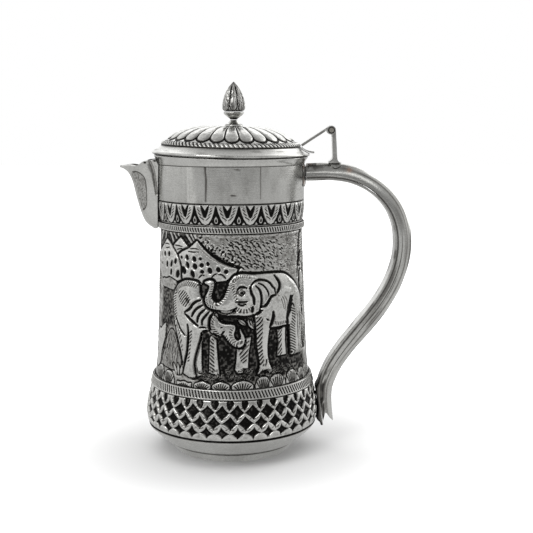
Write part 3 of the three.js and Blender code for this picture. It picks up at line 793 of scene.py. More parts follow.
def landscape(r, at, seed):
    """Two elephants facing each other under the hills, with the middle at s = at."""
    move = np.array([at, 0.0])

    def line(points, smooth=True):
        points = np.asarray(points, float) + move
        return curve(points) if smooth else points

    def shape(points, smooth=True):
        points = np.asarray(points, float) + move
        return curve(points, closed=True, steps=4) if smooth else points

    # Dark ground between and under the animals, and beside the tree on the left.
    r.sink([shape([(-22, 58), (-22, 90), (-20, 104), (-21, 121), (-8, 123), (1, 120), (-1, 108),
                   (4, 99), (16, 99), (26, 92), (44, 92), (44, 62), (30, 57), (0, 56)])],
           0.3, 1.0, 2.5)
    r.sink([shape([(-56, 114.5), (-49, 113.6), (-42, 111.5), (-39, 98), (-38, 90), (-47, 88),
                   (-49, 78), (-52, 80), (-59, 89), (-57, 96)])], 0.2, 0.82, 3)
    r.sink([line([(-48, 90), (-50, 80), (-54, 74), (-57, 66), (-62, 60), (-58, 60), (-52, 68),
                  (-48, 80)])], 0.2, 0.9, 2)
    r.sink([shape([(44, 70), (58, 70), (62, 62), (56, 57), (44, 60)])], 0, 0.8, 3)
    ground = soft(r.dark, 0.55, 0.8)
    for size, share in ((2.8, 0.12), (1.3, 0.24)):
        mottle = noise(r.s, r.z, size, seed + 7)
        r.rise += share * mottle * ground
        r.dark -= share * np.maximum(mottle, 0) * ground

    # Chisel marks over the sky, boldest in its middle.
    r.dashes((at - 22, at + 60, 122, 151), 420, 2.2, -12, seed + 1, 0.8, 0.16, 0.42, 32)
    r.dashes((at - 16, at + 40, 126, 147), 110, 2.3, -30, seed + 2, 1.0, 0.26, 0.8, 24)
    dice = np.random.default_rng(seed + 3)
    for row in range(7):
        for column in range(9):
            s, z = dice.normal((1 + 3.6 * column + 0.9 * (row % 2), 144 - 2.5 * row), 0.7)
            size = dice.uniform(0.7, 1.5) * (1.15 - column * 0.07)
            r.cut(line([(s - size, z + size * 0.7), (s + size * 0.2, z + size * 0.25),
                        (s + size, z - size * 0.8)]), 0.75 + 0.4 * size, 0.35, 1.0)

    # Sun rays behind the left hills, then the hills, back to front.
    r.sink([line([(-64, 150), (-20, 150), (-22, 143), (-34, 134), (-50, 138), (-66, 136)], False)],
           0, 0.85, 3)
    for s, lean, width in ((-57, -4, 3.0), (-51, -2, 1.6), (-45.5, 3, 2.2), (-41.5, 4, 1.4),
                           (-37, 2, 1.2), (-30, 4.4, 1.8), (-26.4, 3.4, 1.4), (-23.4, 2.6, 2.2)):
        r.ridge(line([(s, 149.6), (s + lean * 0.4, 147.6), (s + lean, 144.4)]), width, 0.35, 0.1)
    slope = line([(-20.8, 144.6), (-15.4, 139.9), (-10.4, 136.9), (-5.4, 134), (0.4, 131.5),
                  (7, 129)])
    r.cut(slope, 3.4, 0.5, 1.0, 0.3)
    for point in slope[::2]:
        for _ in range(3):
            out, turn = dice.uniform(1, 6.5), dice.uniform(0, math.pi)
            middle = point + np.array([0.5, 0.85]) * out
            reach = np.array([math.cos(turn), math.sin(turn)]) * dice.uniform(0.5, 1.4)
            r.cut([middle - reach, middle + reach], dice.uniform(0.9, 1.8), 0.35, 0.95 - 0.07 * out,
                  0.6)
    for outline, bands, mouths in HILLS:
        r.lift([line(outline, False)], 0.55, 3.0, 0.0, 1.7)
        for band in bands:
            r.cut(line(band), 1.0, 0.25, 0.95)
        for s, z, width, height in mouths:
            lean = -18 * np.sign(s + 33 + (z - 132) * 0.6)
            r.pit(s + at, z, width * 1.15, height * 1.15, lean if width < 3.4 else -30, 0.6)
    r.cut(line([(-19.4, 141), (-13, 135.8), (-6, 132), (2, 129)]), 0.8, 0.2, 0.5)

    # Bushes along the horizon, and plain haze under the left ones.
    for top in ([(-20, 122.2), (-18, 124), (-16, 124.2)],
                [(-11.4, 122.6), (-9.6, 124.6), (-7.4, 125.6)],
                [(-6.6, 125.2), (-4, 124.6), (-2, 122.6)], [(-16.6, 120.6), (-13, 121.6),
                                                            (-9, 120.6)]):
        r.cut(line(top), 1.3, 0.25)
    r.lift([shape([(-57, 114), (-56, 118.6), (-50, 119.2), (-46, 120.4), (-42, 119.4), (-38.6, 118),
                   (-40, 113), (-48, 113)])], 0.2, 1.5, 0.0, 1.0, 0.22)
    # A leaning tree trunk and a stippled mound on the left.
    r.lift([line([(-50, 90), (-54, 88), (-58, 85), (-64, 82), (-66, 60), (-59, 61), (-56, 70),
                  (-51, 80)])], 0.3, 2.5, 0.0, 1.2, 0.05)
    r.lift([shape([(-47.5, 82), (-43, 87), (-39, 84), (-36, 76), (-33, 66), (-38, 61),
                   (-46, 61), (-52, 62), (-54, 66), (-50, 74)])], 0.25, 3, 0.0, 1.0, 0.38)
    for _ in range(90):
        s, z = dice.uniform(-53, -33), dice.uniform(61, 84)
        if (s + 43) ** 2 / 80 + (z - 72) ** 2 / 170 < 1:
            r.cut(line([(s, z), (s + 0.3, z + 3.4)], False), 0.9, 0.2, 0.8, 0.6)
    for base, tip in (((-36, 58), (-40, 65.6)), ((-34.4, 58), (-36, 66)), ((-33, 58.4), (-32, 65))):
        r.lift([shape([base, ((base[0] + tip[0]) / 2 - 1.1, (base[1] + tip[1]) / 2), tip,
                       ((base[0] + tip[0]) / 2 + 1.1,
                        (base[1] + tip[1]) / 2)])], 0.3, 0.8, 0.0, 0.7)

    # Legs on the far sides, then each elephant.
    for legs in (LOWERED_FAR_LEGS, NEAR_FAR_LEGS):
        for leg in legs:
            r.lift([line(leg, False)], 0.3, 1.6, 0.0, 1.0)
    r.hatch(line([(-12.4, 84), (-9.4, 85), (-8.8, 62), (-12.6, 62)], False), -38, 1.8)
    r.hatch(line([(5, 79), (13, 85), (12.6, 78), (10.4, 68), (7, 69)], False), 42, 1.9, 0.85)
    r.hatch(line([(32.4, 88), (36.4, 88), (35.6, 80), (36, 71), (32, 71)], False), 50, 1.8, 0.8)

    def animal(parts, height):
        r.lift([shape(p) for p in parts.values()], height, 4.2, 0.1, 1.9)

    animal(LOWERED_ELEPHANT, 1.3)
    r.ticks(line([(-38.6, 113.6), (-36, 116.6), (-32, 118.9), (-28, 119.8), (-20.4, 119)]),
            3.6, 1.5, 0.85, -1, 0.5)
    r.hatch(shape([(-35.5, 111.5), (-31, 114), (-26.4, 111), (-24.6, 106), (-28.4, 103),
                   (-33, 105.4)]),
            52, 1.6, 0.9)
    r.pit(-27.4 + at, 107.6, 4.4, 2.6, 60, 0.2, 0.7)
    r.ticks(line([(-40.8, 113), (-41, 106), (-40.2, 99), (-39.2, 93)]), 4.6, 1.7, 0.65, 1, 0.5)
    r.hatch(line([(-26.9, 89), (-23.6, 89), (-24.4, 80), (-25.4, 68), (-28, 68)], False), 40, 1.7,
            0.9)
    r.hatch(line([(-37, 92), (-34, 92), (-31, 80), (-30, 72), (-33, 78)], False), 60, 1.9, 0.6)
    r.sink([shape([(-8.4, 100.6), (-8.6, 97.6), (-6, 95), (-2, 93.4), (3, 93.6), (4.4, 91),
                   (7, 93), (10, 97), (6, 99.4), (0, 98.8), (-3, 100.6)])], 0.35, 0.97, 1.0)
    r.lift([shape(LOWERED_HEAD)], 0.85, 3.0, 0.4, 1.5)
    r.ticks(line([(-8.8, 97.4), (-9.6, 93), (-7.6, 89.4), (-4.8, 87)]), 2.6, 1.5, 0.95, -1, 0.6)
    r.ticks(line([(2.6, 91), (1.8, 88), (2.6, 85), (4.6, 82.6), (6.6, 82.8)]), 2.2, 1.5, 0.8, -1,
            0.4)
    r.ticks(line([(-3.4, 86.2), (-1.4, 83.8), (1, 81.2), (4, 79.2)]), 1.8, 1.5, 0.8, 1, 0.4)
    r.pit(-4.6 + at, 91.6, 1.8, 1.2, 20, 0.3, 0.95)
    for width, points in LOWERED_LINES:
        r.cut(line(points), width * 1.45, 0.6)
    # Leaves in the dark between the two heads.
    for tip, root in (((5.6, 96.4), (10.6, 92.6)), ((11.6, 96.4), (16.4, 89.6))):
        tip, root = np.array(tip), np.array(root)
        bow = np.array([root[1] - tip[1], tip[0] - root[0]]) * 0.22
        r.lift([shape([tip, (tip + root) / 2 + bow, root, (tip + root) / 2 - bow])], 0.35, 1.2, 0.2,
               0.7)
        r.cut(line([tip, root], False), 0.8, 0.25, 0.9, 0.3)

    animal(NEAR_ELEPHANT, 1.45)
    r.sink([line(NEAR_FOLD, False)], 0.5, 0.97, 0.7)
    for width, points in NEAR_LINES:
        r.cut(line(points), width * 1.5, 0.65)
    # The eye, with a heavy lid.
    r.pit(7.7 + at, 113.7, 4.4, 4.0, 0, 0.25, 0.35)
    r.cut(shape([(5.7, 113.4), (7.6, 115.3), (9.8, 113.8), (7.9, 111.6)]), 1.0, 0.35, 1.0, 0.0)
    r.cut(line([(4.9, 112.6), (5, 115), (6.8, 116.8), (9, 117), (11.2, 116.5)]), 1.2, 0.45)
    r.pit(7.9 + at, 113.4, 2.4, 2.2, 0, 0.3, 1.0)
    r.ridge(line([(6.2, 113.6), (7.2, 115), (9, 114.9)]), 0.9, 0.3, 0.15)
    r.ticks(line([(2.4, 121.6), (5, 123.9), (9, 124.8), (13, 124.4)]), 2.6, 1.5, 0.7, -1, 0.3)
    r.ticks(line([(-0.6, 118), (-2.6, 113.4), (-4.6, 109.6), (-7.4, 107.2), (-10, 108.2)]),
            2.6, 1.55, 0.95, 1, 0.4)
    r.ticks(line([(-10.8, 110), (-10.9, 113), (-9.8, 118)]), 2.0, 1.5, 0.9, 1, 0.4)
    r.ticks(line([(-14.8, 110), (-14.8, 107), (-13, 104.6), (-9.6, 103.4)]), 1.8, 1.5, 0.75, 1, 0.4)
    r.ticks(line([(2.6, 102.8), (5, 104.6), (8, 103.2), (11, 103.4), (14, 105)]), 3.4, 1.5, 0.75,
            -1)
    r.ticks(line([(2.4, 121.6), (1.4, 118), (2.4, 114), (3.2, 110)]), 2.2, 1.6, 0.6, 1, 0.4)
    for s in (12.6, 14.2, 15.8):
        r.cut(line([(s, 97), (s + 0.3, 94.6), (s + 0.9, 92.6)]), 1.0, 0.3)
    r.ticks(line([(28.4, 92.4), (33, 91.2), (38.6, 91.4)]), 2.4, 1.5, 0.8, 1, 0.3)
    r.hatch(line([(16.6, 98), (21.6, 98), (20.6, 80), (22, 66), (19, 66), (17.4, 78)], False),
            48, 1.8, 0.95)
    r.ticks(line([(43.4, 101), (44.4, 94), (43.6, 88), (43.6, 80), (43.6, 72)]), 4.6, 1.8, 0.9, 1,
            -0.6)
    r.ticks(line([(56.6, 104), (57, 92), (56.6, 74)]), 3.4, 1.9, 0.6, -1, -0.6)
    for bend in (0, 3.2, 6.4):
        r.cut(line([(31 + bend, 111.6 - bend / 3), (34.6 + bend * 0.8, 108 - bend / 3),
                    (37 + bend * 0.4, 101 - bend / 3)]), 0.9, 0.15, 0.4)
    r.ridge(line([(33.6, 109), (37.6, 113.6), (42.4, 112.6)]), 3.4, 0.3)
    r.ridge(line([(14, 123.6), (20, 122.9), (28, 122.8)]), 2.2, 0.25)

    # The leaves of a tree at the right.
    for leaf in ([(57.6, 128), (59, 138), (60.6, 146), (63.5, 150), (67, 149), (67.4, 138),
                  (64, 128)],
                 [(58.4, 122), (58.6, 112), (60, 100), (64, 96), (67, 104), (65, 116), (62, 123)],
                 [(59.6, 94), (59.8, 84), (61.4, 74), (65, 72), (67, 80), (64.6, 90)]):
        r.lift([shape(leaf)], 0.7, 2.4, 0.2, 1.6)
        middle = np.mean(leaf, 0)
        vein = line([middle - [2, 9], middle, middle + [1.5, 8]])
        r.cut(vein, 0.9, 0.25, 0.9)
        for side in (-1, 1):
            r.ticks(vein, 3.4, 1.7, 0.75, side, 0.8)
    r.cut(line([(60, 136), (57.6, 131), (56.4, 126), (55.2, 120)]), 2.8, 0.5)

    # Tufts of grass along the bottom, each a fan of strokes.
    for s, top, half in ((-55, 61, 5.6), (-44, 59.5, 5.6), (-30, 55, 5.6), (-17, 56.3, 5.2),
                         (-5.2, 56.6, 5.2), (8, 57.2, 6.4), (21, 59, 5), (31, 59.3, 6.2),
                         (43.6, 60, 5.6), (54.6, 59.2, 5.4)):
        tuft = [(s - half, 51.4), (s - half, 54.2), (s - half * 0.55, top - 0.9), (s, top),
                (s + half * 0.55, top - 0.8), (s + half, 54.4), (s + half, 51.4)]
        r.lift([line(tuft)], 0.35, 1.5, 0.0, 0.8)
        for blade in np.arange(-0.84, 1, 0.28) * half:
            r.cut(line([(s + blade * 0.5, 51.4), (s + blade,
                                                  top - 1.3 - (blade / half) ** 2 * 2.4)],
                       False), 1.15, 0.35, 1.0, 0.4)
    r.sink([line([(-60, 50.6), (60, 50.6), (60, 51.6), (-60, 51.6)], False)], 0.1, 0.9, 0.6)

    r.dashes((at - 20, at + 44, 57, 64), 120, 2.0, 20, seed + 4, 0.9, 0.15, 0.8, 50)


def palm(r, at):
    """A tree that fills the side of the body beside the handle and behind the spout."""
    move = np.array([at, 0.0])
    trunk = np.array([(-3, 52), (-2.2, 80), (-2.6, 108), (0, 122), (2.8, 108), (3, 80), (4, 52)])
    r.lift([curve(trunk + move, closed=True)], 0.4, 2.5, 0.0, 1.3)
    for z in range(55, 116, 4):
        r.cut(np.array([(-3, z + 1.2), (0, z - 0.6), (3, z + 1.2)]) + move, 0.9, 0.15, 0.8)
    for turn in range(-75, 260, 30):
        a = math.radians(turn)
        reach, droop = 17 - 3 * abs(math.cos(a)), 9 * abs(math.cos(a))
        tip = np.array([reach * math.cos(a), 122 + 15 * math.sin(a) - droop])
        middle = np.array([reach * 0.5 * math.cos(a), 124 + 10 * math.sin(a)])
        spine = curve([(0, 121), middle, tip]) + move
        side = np.array([-math.sin(a), math.cos(a)]) * 2.6
        bow = np.sin(np.linspace(0, math.pi, len(spine)))[:, None] * side
        r.lift([np.vstack([spine + bow, (spine - bow)[::-1]])], 0.3, 1.2, 0.05, 1.0)
        r.cut(spine, 0.6, 0.15, 0.8)
        r.ticks(spine, 2.4, 1.5, 0.8, 1, 0.8)
        r.ticks(spine, 2.4, 1.5, 0.8, -1, 0.8)
    for s, top in ((-15, 60), (-5, 57), (6, 58), (16, 61)):
        tuft = np.array([(s - 5, 51.4), (s - 5, 54.4), (s, top), (s + 5, 54.4), (s + 5, 51.4)])
        r.lift([curve(tuft + move)], 0.35, 1.5, 0.0, 0.8)
        for blade in range(-4, 5):
            r.cut(np.array([(s + blade, 52), (s + blade * 1.1, top - 2.5)]) + move, 0.5, 0.1, 0.6)


DRUM_PROFILE = [(52.1, 48.6), (51.2, 54), (50.2, 64), (49.3, 84), (48.4, 106), (47.6, 128),
                (46.8, 152.3)]


def drum_panel(name, start, end, columns):
    """One part of the drum, from start to end in s, with whatever of the scene falls on it."""
    s = np.linspace(start, end, columns // COARSE)
    r = Relief(s, np.linspace(48.6, 152.3, 300 // COARSE), 0.2)
    r.rough(9, 0.08, 0.12, 31)
    r.rough(2.4, 0.12, 0.22, 32)
    for turn in (-ROUND, -ROUND / 2, 0, ROUND / 2, ROUND):
        palm(r, 76.5 + turn)
    for turn in (-ROUND / 2, ROUND / 2, ROUND, 0):
        landscape(r, turn, 41)
    r.rough(5.0, 0.10, 0.08, 34)
    r.rough(1.1, 0.05, 0.12, 33)
    under_wire = soft(r.z, 149.2, 149.8)
    r.rise += 0.25 * soft(r.z, 147.6, 148.6) * (1 - under_wire)
    r.dark = np.maximum(r.dark, under_wire)
    sheet_ring(name, r.settle(3), DRUM_PROFILE, 1.4, CHASED, nodes=["scene_drum"])


drum_panel("scene_drum_front", -54, 58, 328)
drum_panel("scene_drum_handle_side", 58, 155, 310)
drum_panel("scene_drum_spout_side", 155, ROUND - 54, 310)


# ------------------------------------------------------------------ collar and rim

def bent(points, by=1.8):
    """The lid's edge and the rim have been bent up a little toward the spout."""
    raised = by * soft(-points[..., 0], -12, 60)
    return points + raised[..., None] * [0, 0, 1]


def collar():
    """A polished band, a little uneven from the hammer, open behind the spout."""
    columns = 448 // COARSE
    r = Relief(np.arange(columns) / columns * ROUND, np.linspace(168.9, 191.7, 44 // COARSE), 0.02)
    r.rise += (0.22 * noise(r.s, r.z * 0.22, 13, 61, ROUND)
               + 0.08 * noise(r.s, r.z * 0.4, 5, 62, ROUND))
    for turn in (0, ROUND):
        # Two dark vertical lines are painted reflections, drawn in very shallow grooves.
        r.cut([(turn - 14.6, 192), (turn - 14.2, 184), (turn - 14.4, 171)], 1.5, 0.12, 0.8, 0.1)
        r.cut([(turn + 20.4, 192), (turn + 20.2, 184), (turn + 20.4, 172)], 0.9, 0.05, 0.45, 0.1)
        # A wide, low ridge with its patina cleared is a painted pale highlight band.
        r.ridge([(turn - 27.6, 191), (turn - 27.2, 180), (turn - 27.4, 170)], 3.0, 0.10)
        r.pit(turn + 3, 174.4, 4.2, 1.3, 8, 0.05, 0.65)
        r.pit(turn + 5.5, 190.4, 5.0, 0.9, 5, 0.03, 0.45)
    edge = 1 - soft(r.z, 168.9, 169.5)
    r.dark = np.maximum(r.dark, 0.8 * edge)
    r.dark = np.clip(r.dark + 0.09 * noise(r.s, r.z * 0.6, 6, 63, ROUND)
                     + 0.05 * noise(r.s, r.z * 0.2, 2.2, 64, ROUND), 0, 1)
    sheet_ring("collar", r, [(48.45, 168.9), (48.5, 180), (48.5, 191.7)], 1.6, POLISHED,
               openings=[arch_cutter()])


def arch_cutter():
    """The rounded opening in the collar through which the jug pours."""
    side = curve([(12.5, 187.5), (11.4, 181.5), (8.6, 176.2), (4.4, 173.6), (0, 173)], steps=6)
    arch = np.vstack([side, side[-2::-1] * [-1, 1]])
    rows = [np.stack([np.full(len(arch), x), arch[:, 0], arch[:, 1]], 1) for x in (-38.0, -60.0)]
    return block(rows)


# Its lowest edge is darkened at the joint with the collar, and its top outer edge is painted dark
# as the shade in the gap under the lid's flange.
lathe("mouth_rim", [[48.7, 192, 1], [48.8, 192.8], [49.3, 194.0], [50.1, 195.1], [50.7, 195.9],
                    [50.75, 196.5], [50.3, 196.9, 1], [46.7, 196.9, 1], [46.7, 192, 1]],
      "jug", POLISHED, wobble=0.06,
      place=lambda p: bent(p, 1.4 * soft(p[..., 2], 192, 196)),
      dark=lambda r, z, s: 0.5 * (1 - soft(z, 192, 192.5))
      + 0.8 * soft(z, 196.3, 196.8) * soft(r, 49.4, 50.1))


# ------------------------------------------------------------------ spout

SPOUT_LEVELS = np.array([  # ridge x and z, half width and height at the body, nose shape
    (-51.4, 148.8, 4.5, 149.4, 1.0), (-56.8, 153, 8.2, 153.4, 1.05), (-59.9, 159.2, 9.8, 159.6,
                                                                      1.1),
    (-61.9, 166, 10.8, 166.6, 1.15), (-63.6, 172.6, 12, 174, 1.2), (-65.4, 180, 13.4, 181.8, 1.25),
    (-68.6, 186.4, 14.6, 189, 1.4), (-73.7, 190, 15.4, 195.4, 1.7)])


def spout():
    """A beak with a sunk leaf-shaped panel on each cheek, a valley behind it and a curled lip.
    Its relief is drawn with s as the share of the way forward times 20, and z as the share
    of the way up times 45."""
    turn = np.linspace(0, math.pi / 2, 64 // COARSE)
    share = np.sin(turn) ** 1.2
    up = np.linspace(0, 1, 150 // COARSE)
    r = Relief(share * 20, up * 45, 0.0)
    r.rise += 0.10 * noise(r.s, r.z, 7, 71)
    panel = curve([(19.2, 36.6), (17.4, 38.0), (14.6, 38.6), (12.2, 37.3), (10.4, 35.2),
                   (9.5, 33.0),
                   (9.4, 30.0), (9.6, 26.5), (10.2, 22.2), (11.2, 18.6), (14.0, 16.0), (16.8, 15.4),
                   (18.0, 17.6), (18.6, 23), (19.0, 30)], closed=True)
    where, depth = r.union([panel], 2)
    sunk = soft(depth, -0.4, 0.5)
    r.rise[where] -= 0.85 * sunk
    r.rise[where] += 0.35 * sunk * dome(depth / 4)
    shade = (1 - soft(np.abs(depth - 0.15), 0.25, 0.8)) * (r.s[where] < 17)
    r.dark[where] = np.maximum(r.dark[where], 0.72 * shade)
    r.dark[where] = np.maximum(r.dark[where], 0.12 * sunk)
    inside = np.zeros(r.s.shape, bool)
    inside[where] = depth > 0.6
    dice = np.random.default_rng(72)
    for _ in range(260):
        s, z = dice.uniform(9.5, 19), dice.uniform(15, 38.5)
        if inside[np.searchsorted(r.z_line, z) - 1, np.searchsorted(r.s_line, s) - 1]:
            r.pit(s, z, 0.7, 1.0, dice.uniform(-40, 40), 0.07, 0.38)
    # The valley is hollowed, and its darkening, with the narrow dark line beside it, is a painted
    # dark reflection.
    valley = curve([(3.4, 45), (4.0, 41.5), (3.2, 36.5), (2.8, 33), (2.0, 29.7), (0.9, 25)])
    r.cut(valley, 2.6, 0.75, 0.3, 0.2)
    r.cut(valley[:22] + [0.4, 0], 1.0, 0.15, 0.6, 0.6)
    r.pit(6.0, 43.9, 1.5, 1.4, 0, 0.2, 0.95)
    r.pit(0.7, 44.2, 1.2, 1.6, 30, 0.2, 0.95)
    # Painted shadow: the lower back edge is darkened where the spout stands off from the leaf band.
    r.dark = np.maximum(r.dark, 0.8 * (1 - soft(r.s, 0.05, 0.35)) * (1 - soft(r.z, 20, 26)))
    rise, dark = np.hstack([r.rise, r.rise[:, -2::-1]]), np.hstack([r.dark, r.dark[:, -2::-1]])

    forward = np.concatenate([share, share[-2::-1]])[None, :]
    side = np.concatenate([-np.ones(len(share)), np.ones(len(share) - 1)])[None, :]
    level = curve(np.column_stack([np.arange(8), SPOUT_LEVELS]), steps=12)
    ridge_x, ridge_z, half_width, edge_z, nose = (
        np.interp(up * 7, level[:, 0], level[:, k])[:, None] for k in range(1, 6))
    body = 48.9 + 0.45 * np.maximum(edge_z - 191.4, 0)
    edge_x = -np.sqrt(body**2 - (half_width - 0.6) ** 2)
    height = up[:, None]
    lip = soft(height, 0.86, 1.0)
    dip = (1.7 * np.exp(-(((forward - 0.52) / 0.13) ** 2))
           - 0.5 * np.exp(-(((forward - 0.3) / 0.09) ** 2)))
    points = np.stack(np.broadcast_arrays(
        edge_x + (ridge_x - edge_x) * forward,
        side * half_width * (1 - forward ** (2 / nose)) ** (nose / 2),
        edge_z + (ridge_z - edge_z) * forward - dip * lip), -1)
    normal = np.cross(np.gradient(points, axis=0), np.gradient(points, axis=1))
    normal /= np.maximum(np.linalg.norm(normal, axis=-1, keepdims=True), 1e-9)
    curl = 0.5 * soft(height, 0.95, 1.0) * (forward > 0.02)
    outer = points + normal * (rise * soft(forward, 0.0, 0.03) + curl)[..., None]
    plate("spout", outer, points - normal * 1.1, dark, POLISHED, flip=True)


# ------------------------------------------------------------------ handle

HANDLE = curve([  # x, z and thickness seen from the side
    (50.0, 186.5, 11.4), (66.0, 186.8, 11.2), (82.0, 184.2, 11.3), (97.0, 176.2, 11.5),
    (108.2, 163.8, 11.7), (114.0, 148.0, 12.0), (114.0, 130.0, 12.0), (109.0, 112.8, 12.3),
    (99.8, 96.5, 12.5), (87.0, 80.0, 12.5), (76.6, 67.0, 12.2), (68.6, 54.8, 11.7),
    (63.9, 43.4, 11.2), (63.0, 35.0, 10.3), (63.6, 25.5, 9.6), (64.9, 15.4,
                                                                9.3)], steps=16 // COARSE)


HANDLE_ROUND = 8.5  # mean radius of the half-round section
HANDLE_HALF_WIDTH = 7.2
SEAM_DEPTH = 2.0  # how far the shell's edges lie from the handle's inner side


def on_handle(rows, across, depth):
    """Points at a sideways place and a depth from the centre line, for rows of the path."""
    path = HANDLE[rows]
    tangent = np.gradient(HANDLE[:, :2], axis=0)[rows]
    tangent /= np.linalg.norm(tangent, axis=1, keepdims=True)
    return np.stack(np.broadcast_arrays(path[:, :1] - tangent[:, 1:] * depth, across,
                                        path[:, 1:2] + tangent[:, :1] * depth), -1)


def meets_collar(grid, run):
    """The handle's first end follows the round of the saddle."""
    hollow = 49.9 - np.sqrt(49.9**2 - grid[..., 1] ** 2)
    grid[..., 0] -= (hollow + 0.1) * (1 - soft(run, 0, 9))
    return grid


def handle():
    rows = np.arange(len(HANDLE))
    thickness = HANDLE[:, 2:]
    run = np.concatenate([[0], np.cumsum(np.hypot(*np.diff(HANDLE[:, :2], axis=0).T))])[:, None]
    last = run[-1, 0]

    # The half-round shell, with long polishing marks and a few dents.
    turn = np.linspace(0, math.pi, 61)[None, :]
    s = turn * HANDLE_ROUND
    fold = np.minimum(s, HANDLE_ROUND * math.pi - s)  # from the nearer seam
    width, crown = np.cos(turn), np.sin(turn)
    width = np.sign(width) * np.abs(width) ** (1.0 + 0.45 * soft(run, 60, 120))
    streaks = 0.22 * noise(s, run * 0.06, 1.8, 81)
    dents = 0.14 * noise(s, run * 0.5, 7, 82)
    swell = streaks + dents
    marks = noise(s, run * 0.045, 1.1, 83)
    dark = 0.02 + (0.22 + 0.2 * soft(run, 50, 110)) * soft(marks, 0.0, 0.8)
    # Painted reflection: a dark band runs along each side of the crown, at the same place in the
    # section all along the handle.
    painted_reflection_band = ((1 - soft(np.abs(fold - 6.0), 0.2, 1.0))
              * soft(run, 14, 40) * (1 - soft(run, 150, 220)))
    dark = np.maximum(dark, 0.42 * painted_reflection_band)
    near_seam = 1 - soft(crown, 0.02, 0.10)
    dark = np.maximum(dark, 0.7 * near_seam)
    line = 1 - soft(np.abs(fold - 2.6 - 0.8 * soft(run, 120, 230)), 0.10, 0.36)
    line = line * soft(run, 60, 110) * (1 - soft(run, 225, 250))
    dark = np.maximum(dark, 0.75 * line)
    swell = swell - 0.12 * line
    stain = soft(noise(s, run, 5, 84), 0.0, 0.5) * (1 - soft(run, 6, 24))
    dark = np.maximum(dark, 0.5 * stain)
    seat = np.exp(-(((run - 24) / 3.2) ** 2) - ((fold - 8.6) / 5) ** 2)
    dark = np.maximum(dark, 0.55 * seat * (0.6 + 0.4 * marks))
    # At the lower end the inner side is darkened in ragged patches: solder, and painted shadow
    # where the handle sits close to the skirt.
    low = soft(run, last - 46, last - 26) * (1 - soft(fold, 2.0, 3.6))
    dark = np.maximum(dark, 0.85 * low * soft(noise(s, run, 3, 85), -0.5, 0.3))
    dark = np.clip(dark, 0, 1)
    brass = 0.7 * np.exp(-(((run - 27.5) / 1.6) ** 2) - ((fold - 6.4) / 1.8) ** 2)
    brass = np.maximum(brass, 0.35 * stain * (run < 4))

    # The lower end is notched into a fishtail: each line of the shell ends where the
    # notch's side crosses it.
    shell = {}
    for name, inset in (("outer", 0.0), ("inner", 1.5)):
        across = (HANDLE_HALF_WIDTH - inset) * width + 0 * run
        raised = SEAM_DEPTH - thickness / 2 + (thickness - SEAM_DEPTH - inset) * crown
        if name == "outer":
            across, raised = across + swell * width, raised + swell * crown
        share = (SEAM_DEPTH + (thickness - SEAM_DEPTH - inset) * crown) / thickness
        notch = 8.6 * (1 - np.clip(np.abs(share[-1] - 0.5) / 0.42, 0, 1)) + 0.6 * (share[-1] > 0.8)
        drawn = np.interp(run[:, 0], [0, last - 30, last], [0, 0, 1])[:, None] * notch
        grid = on_handle(rows, across, raised)
        places = run - drawn
        for column in range(grid.shape[1]):
            grid[:, column] = np.stack([np.interp(places[:, column], run[:, 0], grid[:, column, k])
                                        for k in range(3)], 1)
        shell[name] = meets_collar(grid, run)
    plate("handle_shell", shell["outer"], shell["inner"], dark, POLISHED, flip=True, brass=brass)

    # The strip that closes its inner side.
    across = np.linspace(-1, 1, 21)[None, :]
    rounding = 0.5 * soft(np.abs(across), 0.86, 1.0)
    # Solder fills the gap between its lower end and the skirt.
    gap = HANDLE[:, :1] - thickness / 2 - np.interp(HANDLE[:, 1:2], [15, 19, 26, 31, 37, 43],
                                                    [56.0, 57.0, 58.2, 58.0, 57.0, 55.4])
    solder = (np.clip(gap, 0, 3)
              * soft(run, last - 28, last - 23) * (1 - soft(run, last - 6, last - 1)))
    lumps = noise(across * 7, run, 2.4, 92)
    wave = 0.12 * noise(across * 7, run, 9, 86)
    sunk = solder * (1 + 0.2 * lumps)
    inner_face = on_handle(rows, 7.4 * across, rounding + wave - thickness / 2 - sunk)
    outer_face = on_handle(rows, 7.4 * across, 1.7 - thickness / 2 + 0 * across)
    inner_face, outer_face = meets_collar(inner_face, run), meets_collar(outer_face, run)
    stains_and_painted_shadow = 0.06 + 0.4 * soft(noise(across * 7, run * 0.3, 3, 87), 0.2, 0.8)
    # Its lower end is painted dark: solder, and painted shadow against the skirt.
    stains_and_painted_shadow = np.maximum(stains_and_painted_shadow, soft(run, last - 38, last - 27) + 0 * across)
    plate("handle_inner_strip", inner_face, outer_face, stains_and_painted_shadow, POLISHED)

    # The uneven patch of solder and sheet that joins the handle to the collar.
    u, v = np.meshgrid(np.linspace(-1, 1, 72 // COARSE), np.linspace(0, 1, 60 // COARSE))
    ragged = 1 - 0.10 * np.abs(noise(u * 9, v * 14, 3, 88))
    angle = 0.26 * u * np.where(np.abs(u) > 0.7, ragged, 1)
    z = 177.0 + 14.4 * (0.5 + (v - 0.5) * ragged)
    swollen = 0.16 * noise(u * 12.6, v * 14, 2.6, 89)
    edge = np.maximum(np.abs(u), np.abs(2 * v - 1))
    radius = 48.8 + 0.8 * np.sqrt(np.clip(1.0 - edge**4, 0.05, 1)) + swollen * (edge < 0.95)
    outer = np.stack([radius * np.cos(angle), radius * np.sin(angle), z], -1)
    inner = np.stack([48.8 * np.cos(angle), 48.8 * np.sin(angle), z], -1)
    blots = np.clip(0.42 + 0.5 * noise(u * 12.6, v * 14, 2.2, 90), 0, 1)
    plate("handle_saddle", outer, inner, blots, SATIN,
          brass=0.3 * soft(noise(u * 12.6, v * 14, 3.0, 91), 0.1, 0.7))


# ------------------------------------------------------------------ hinge

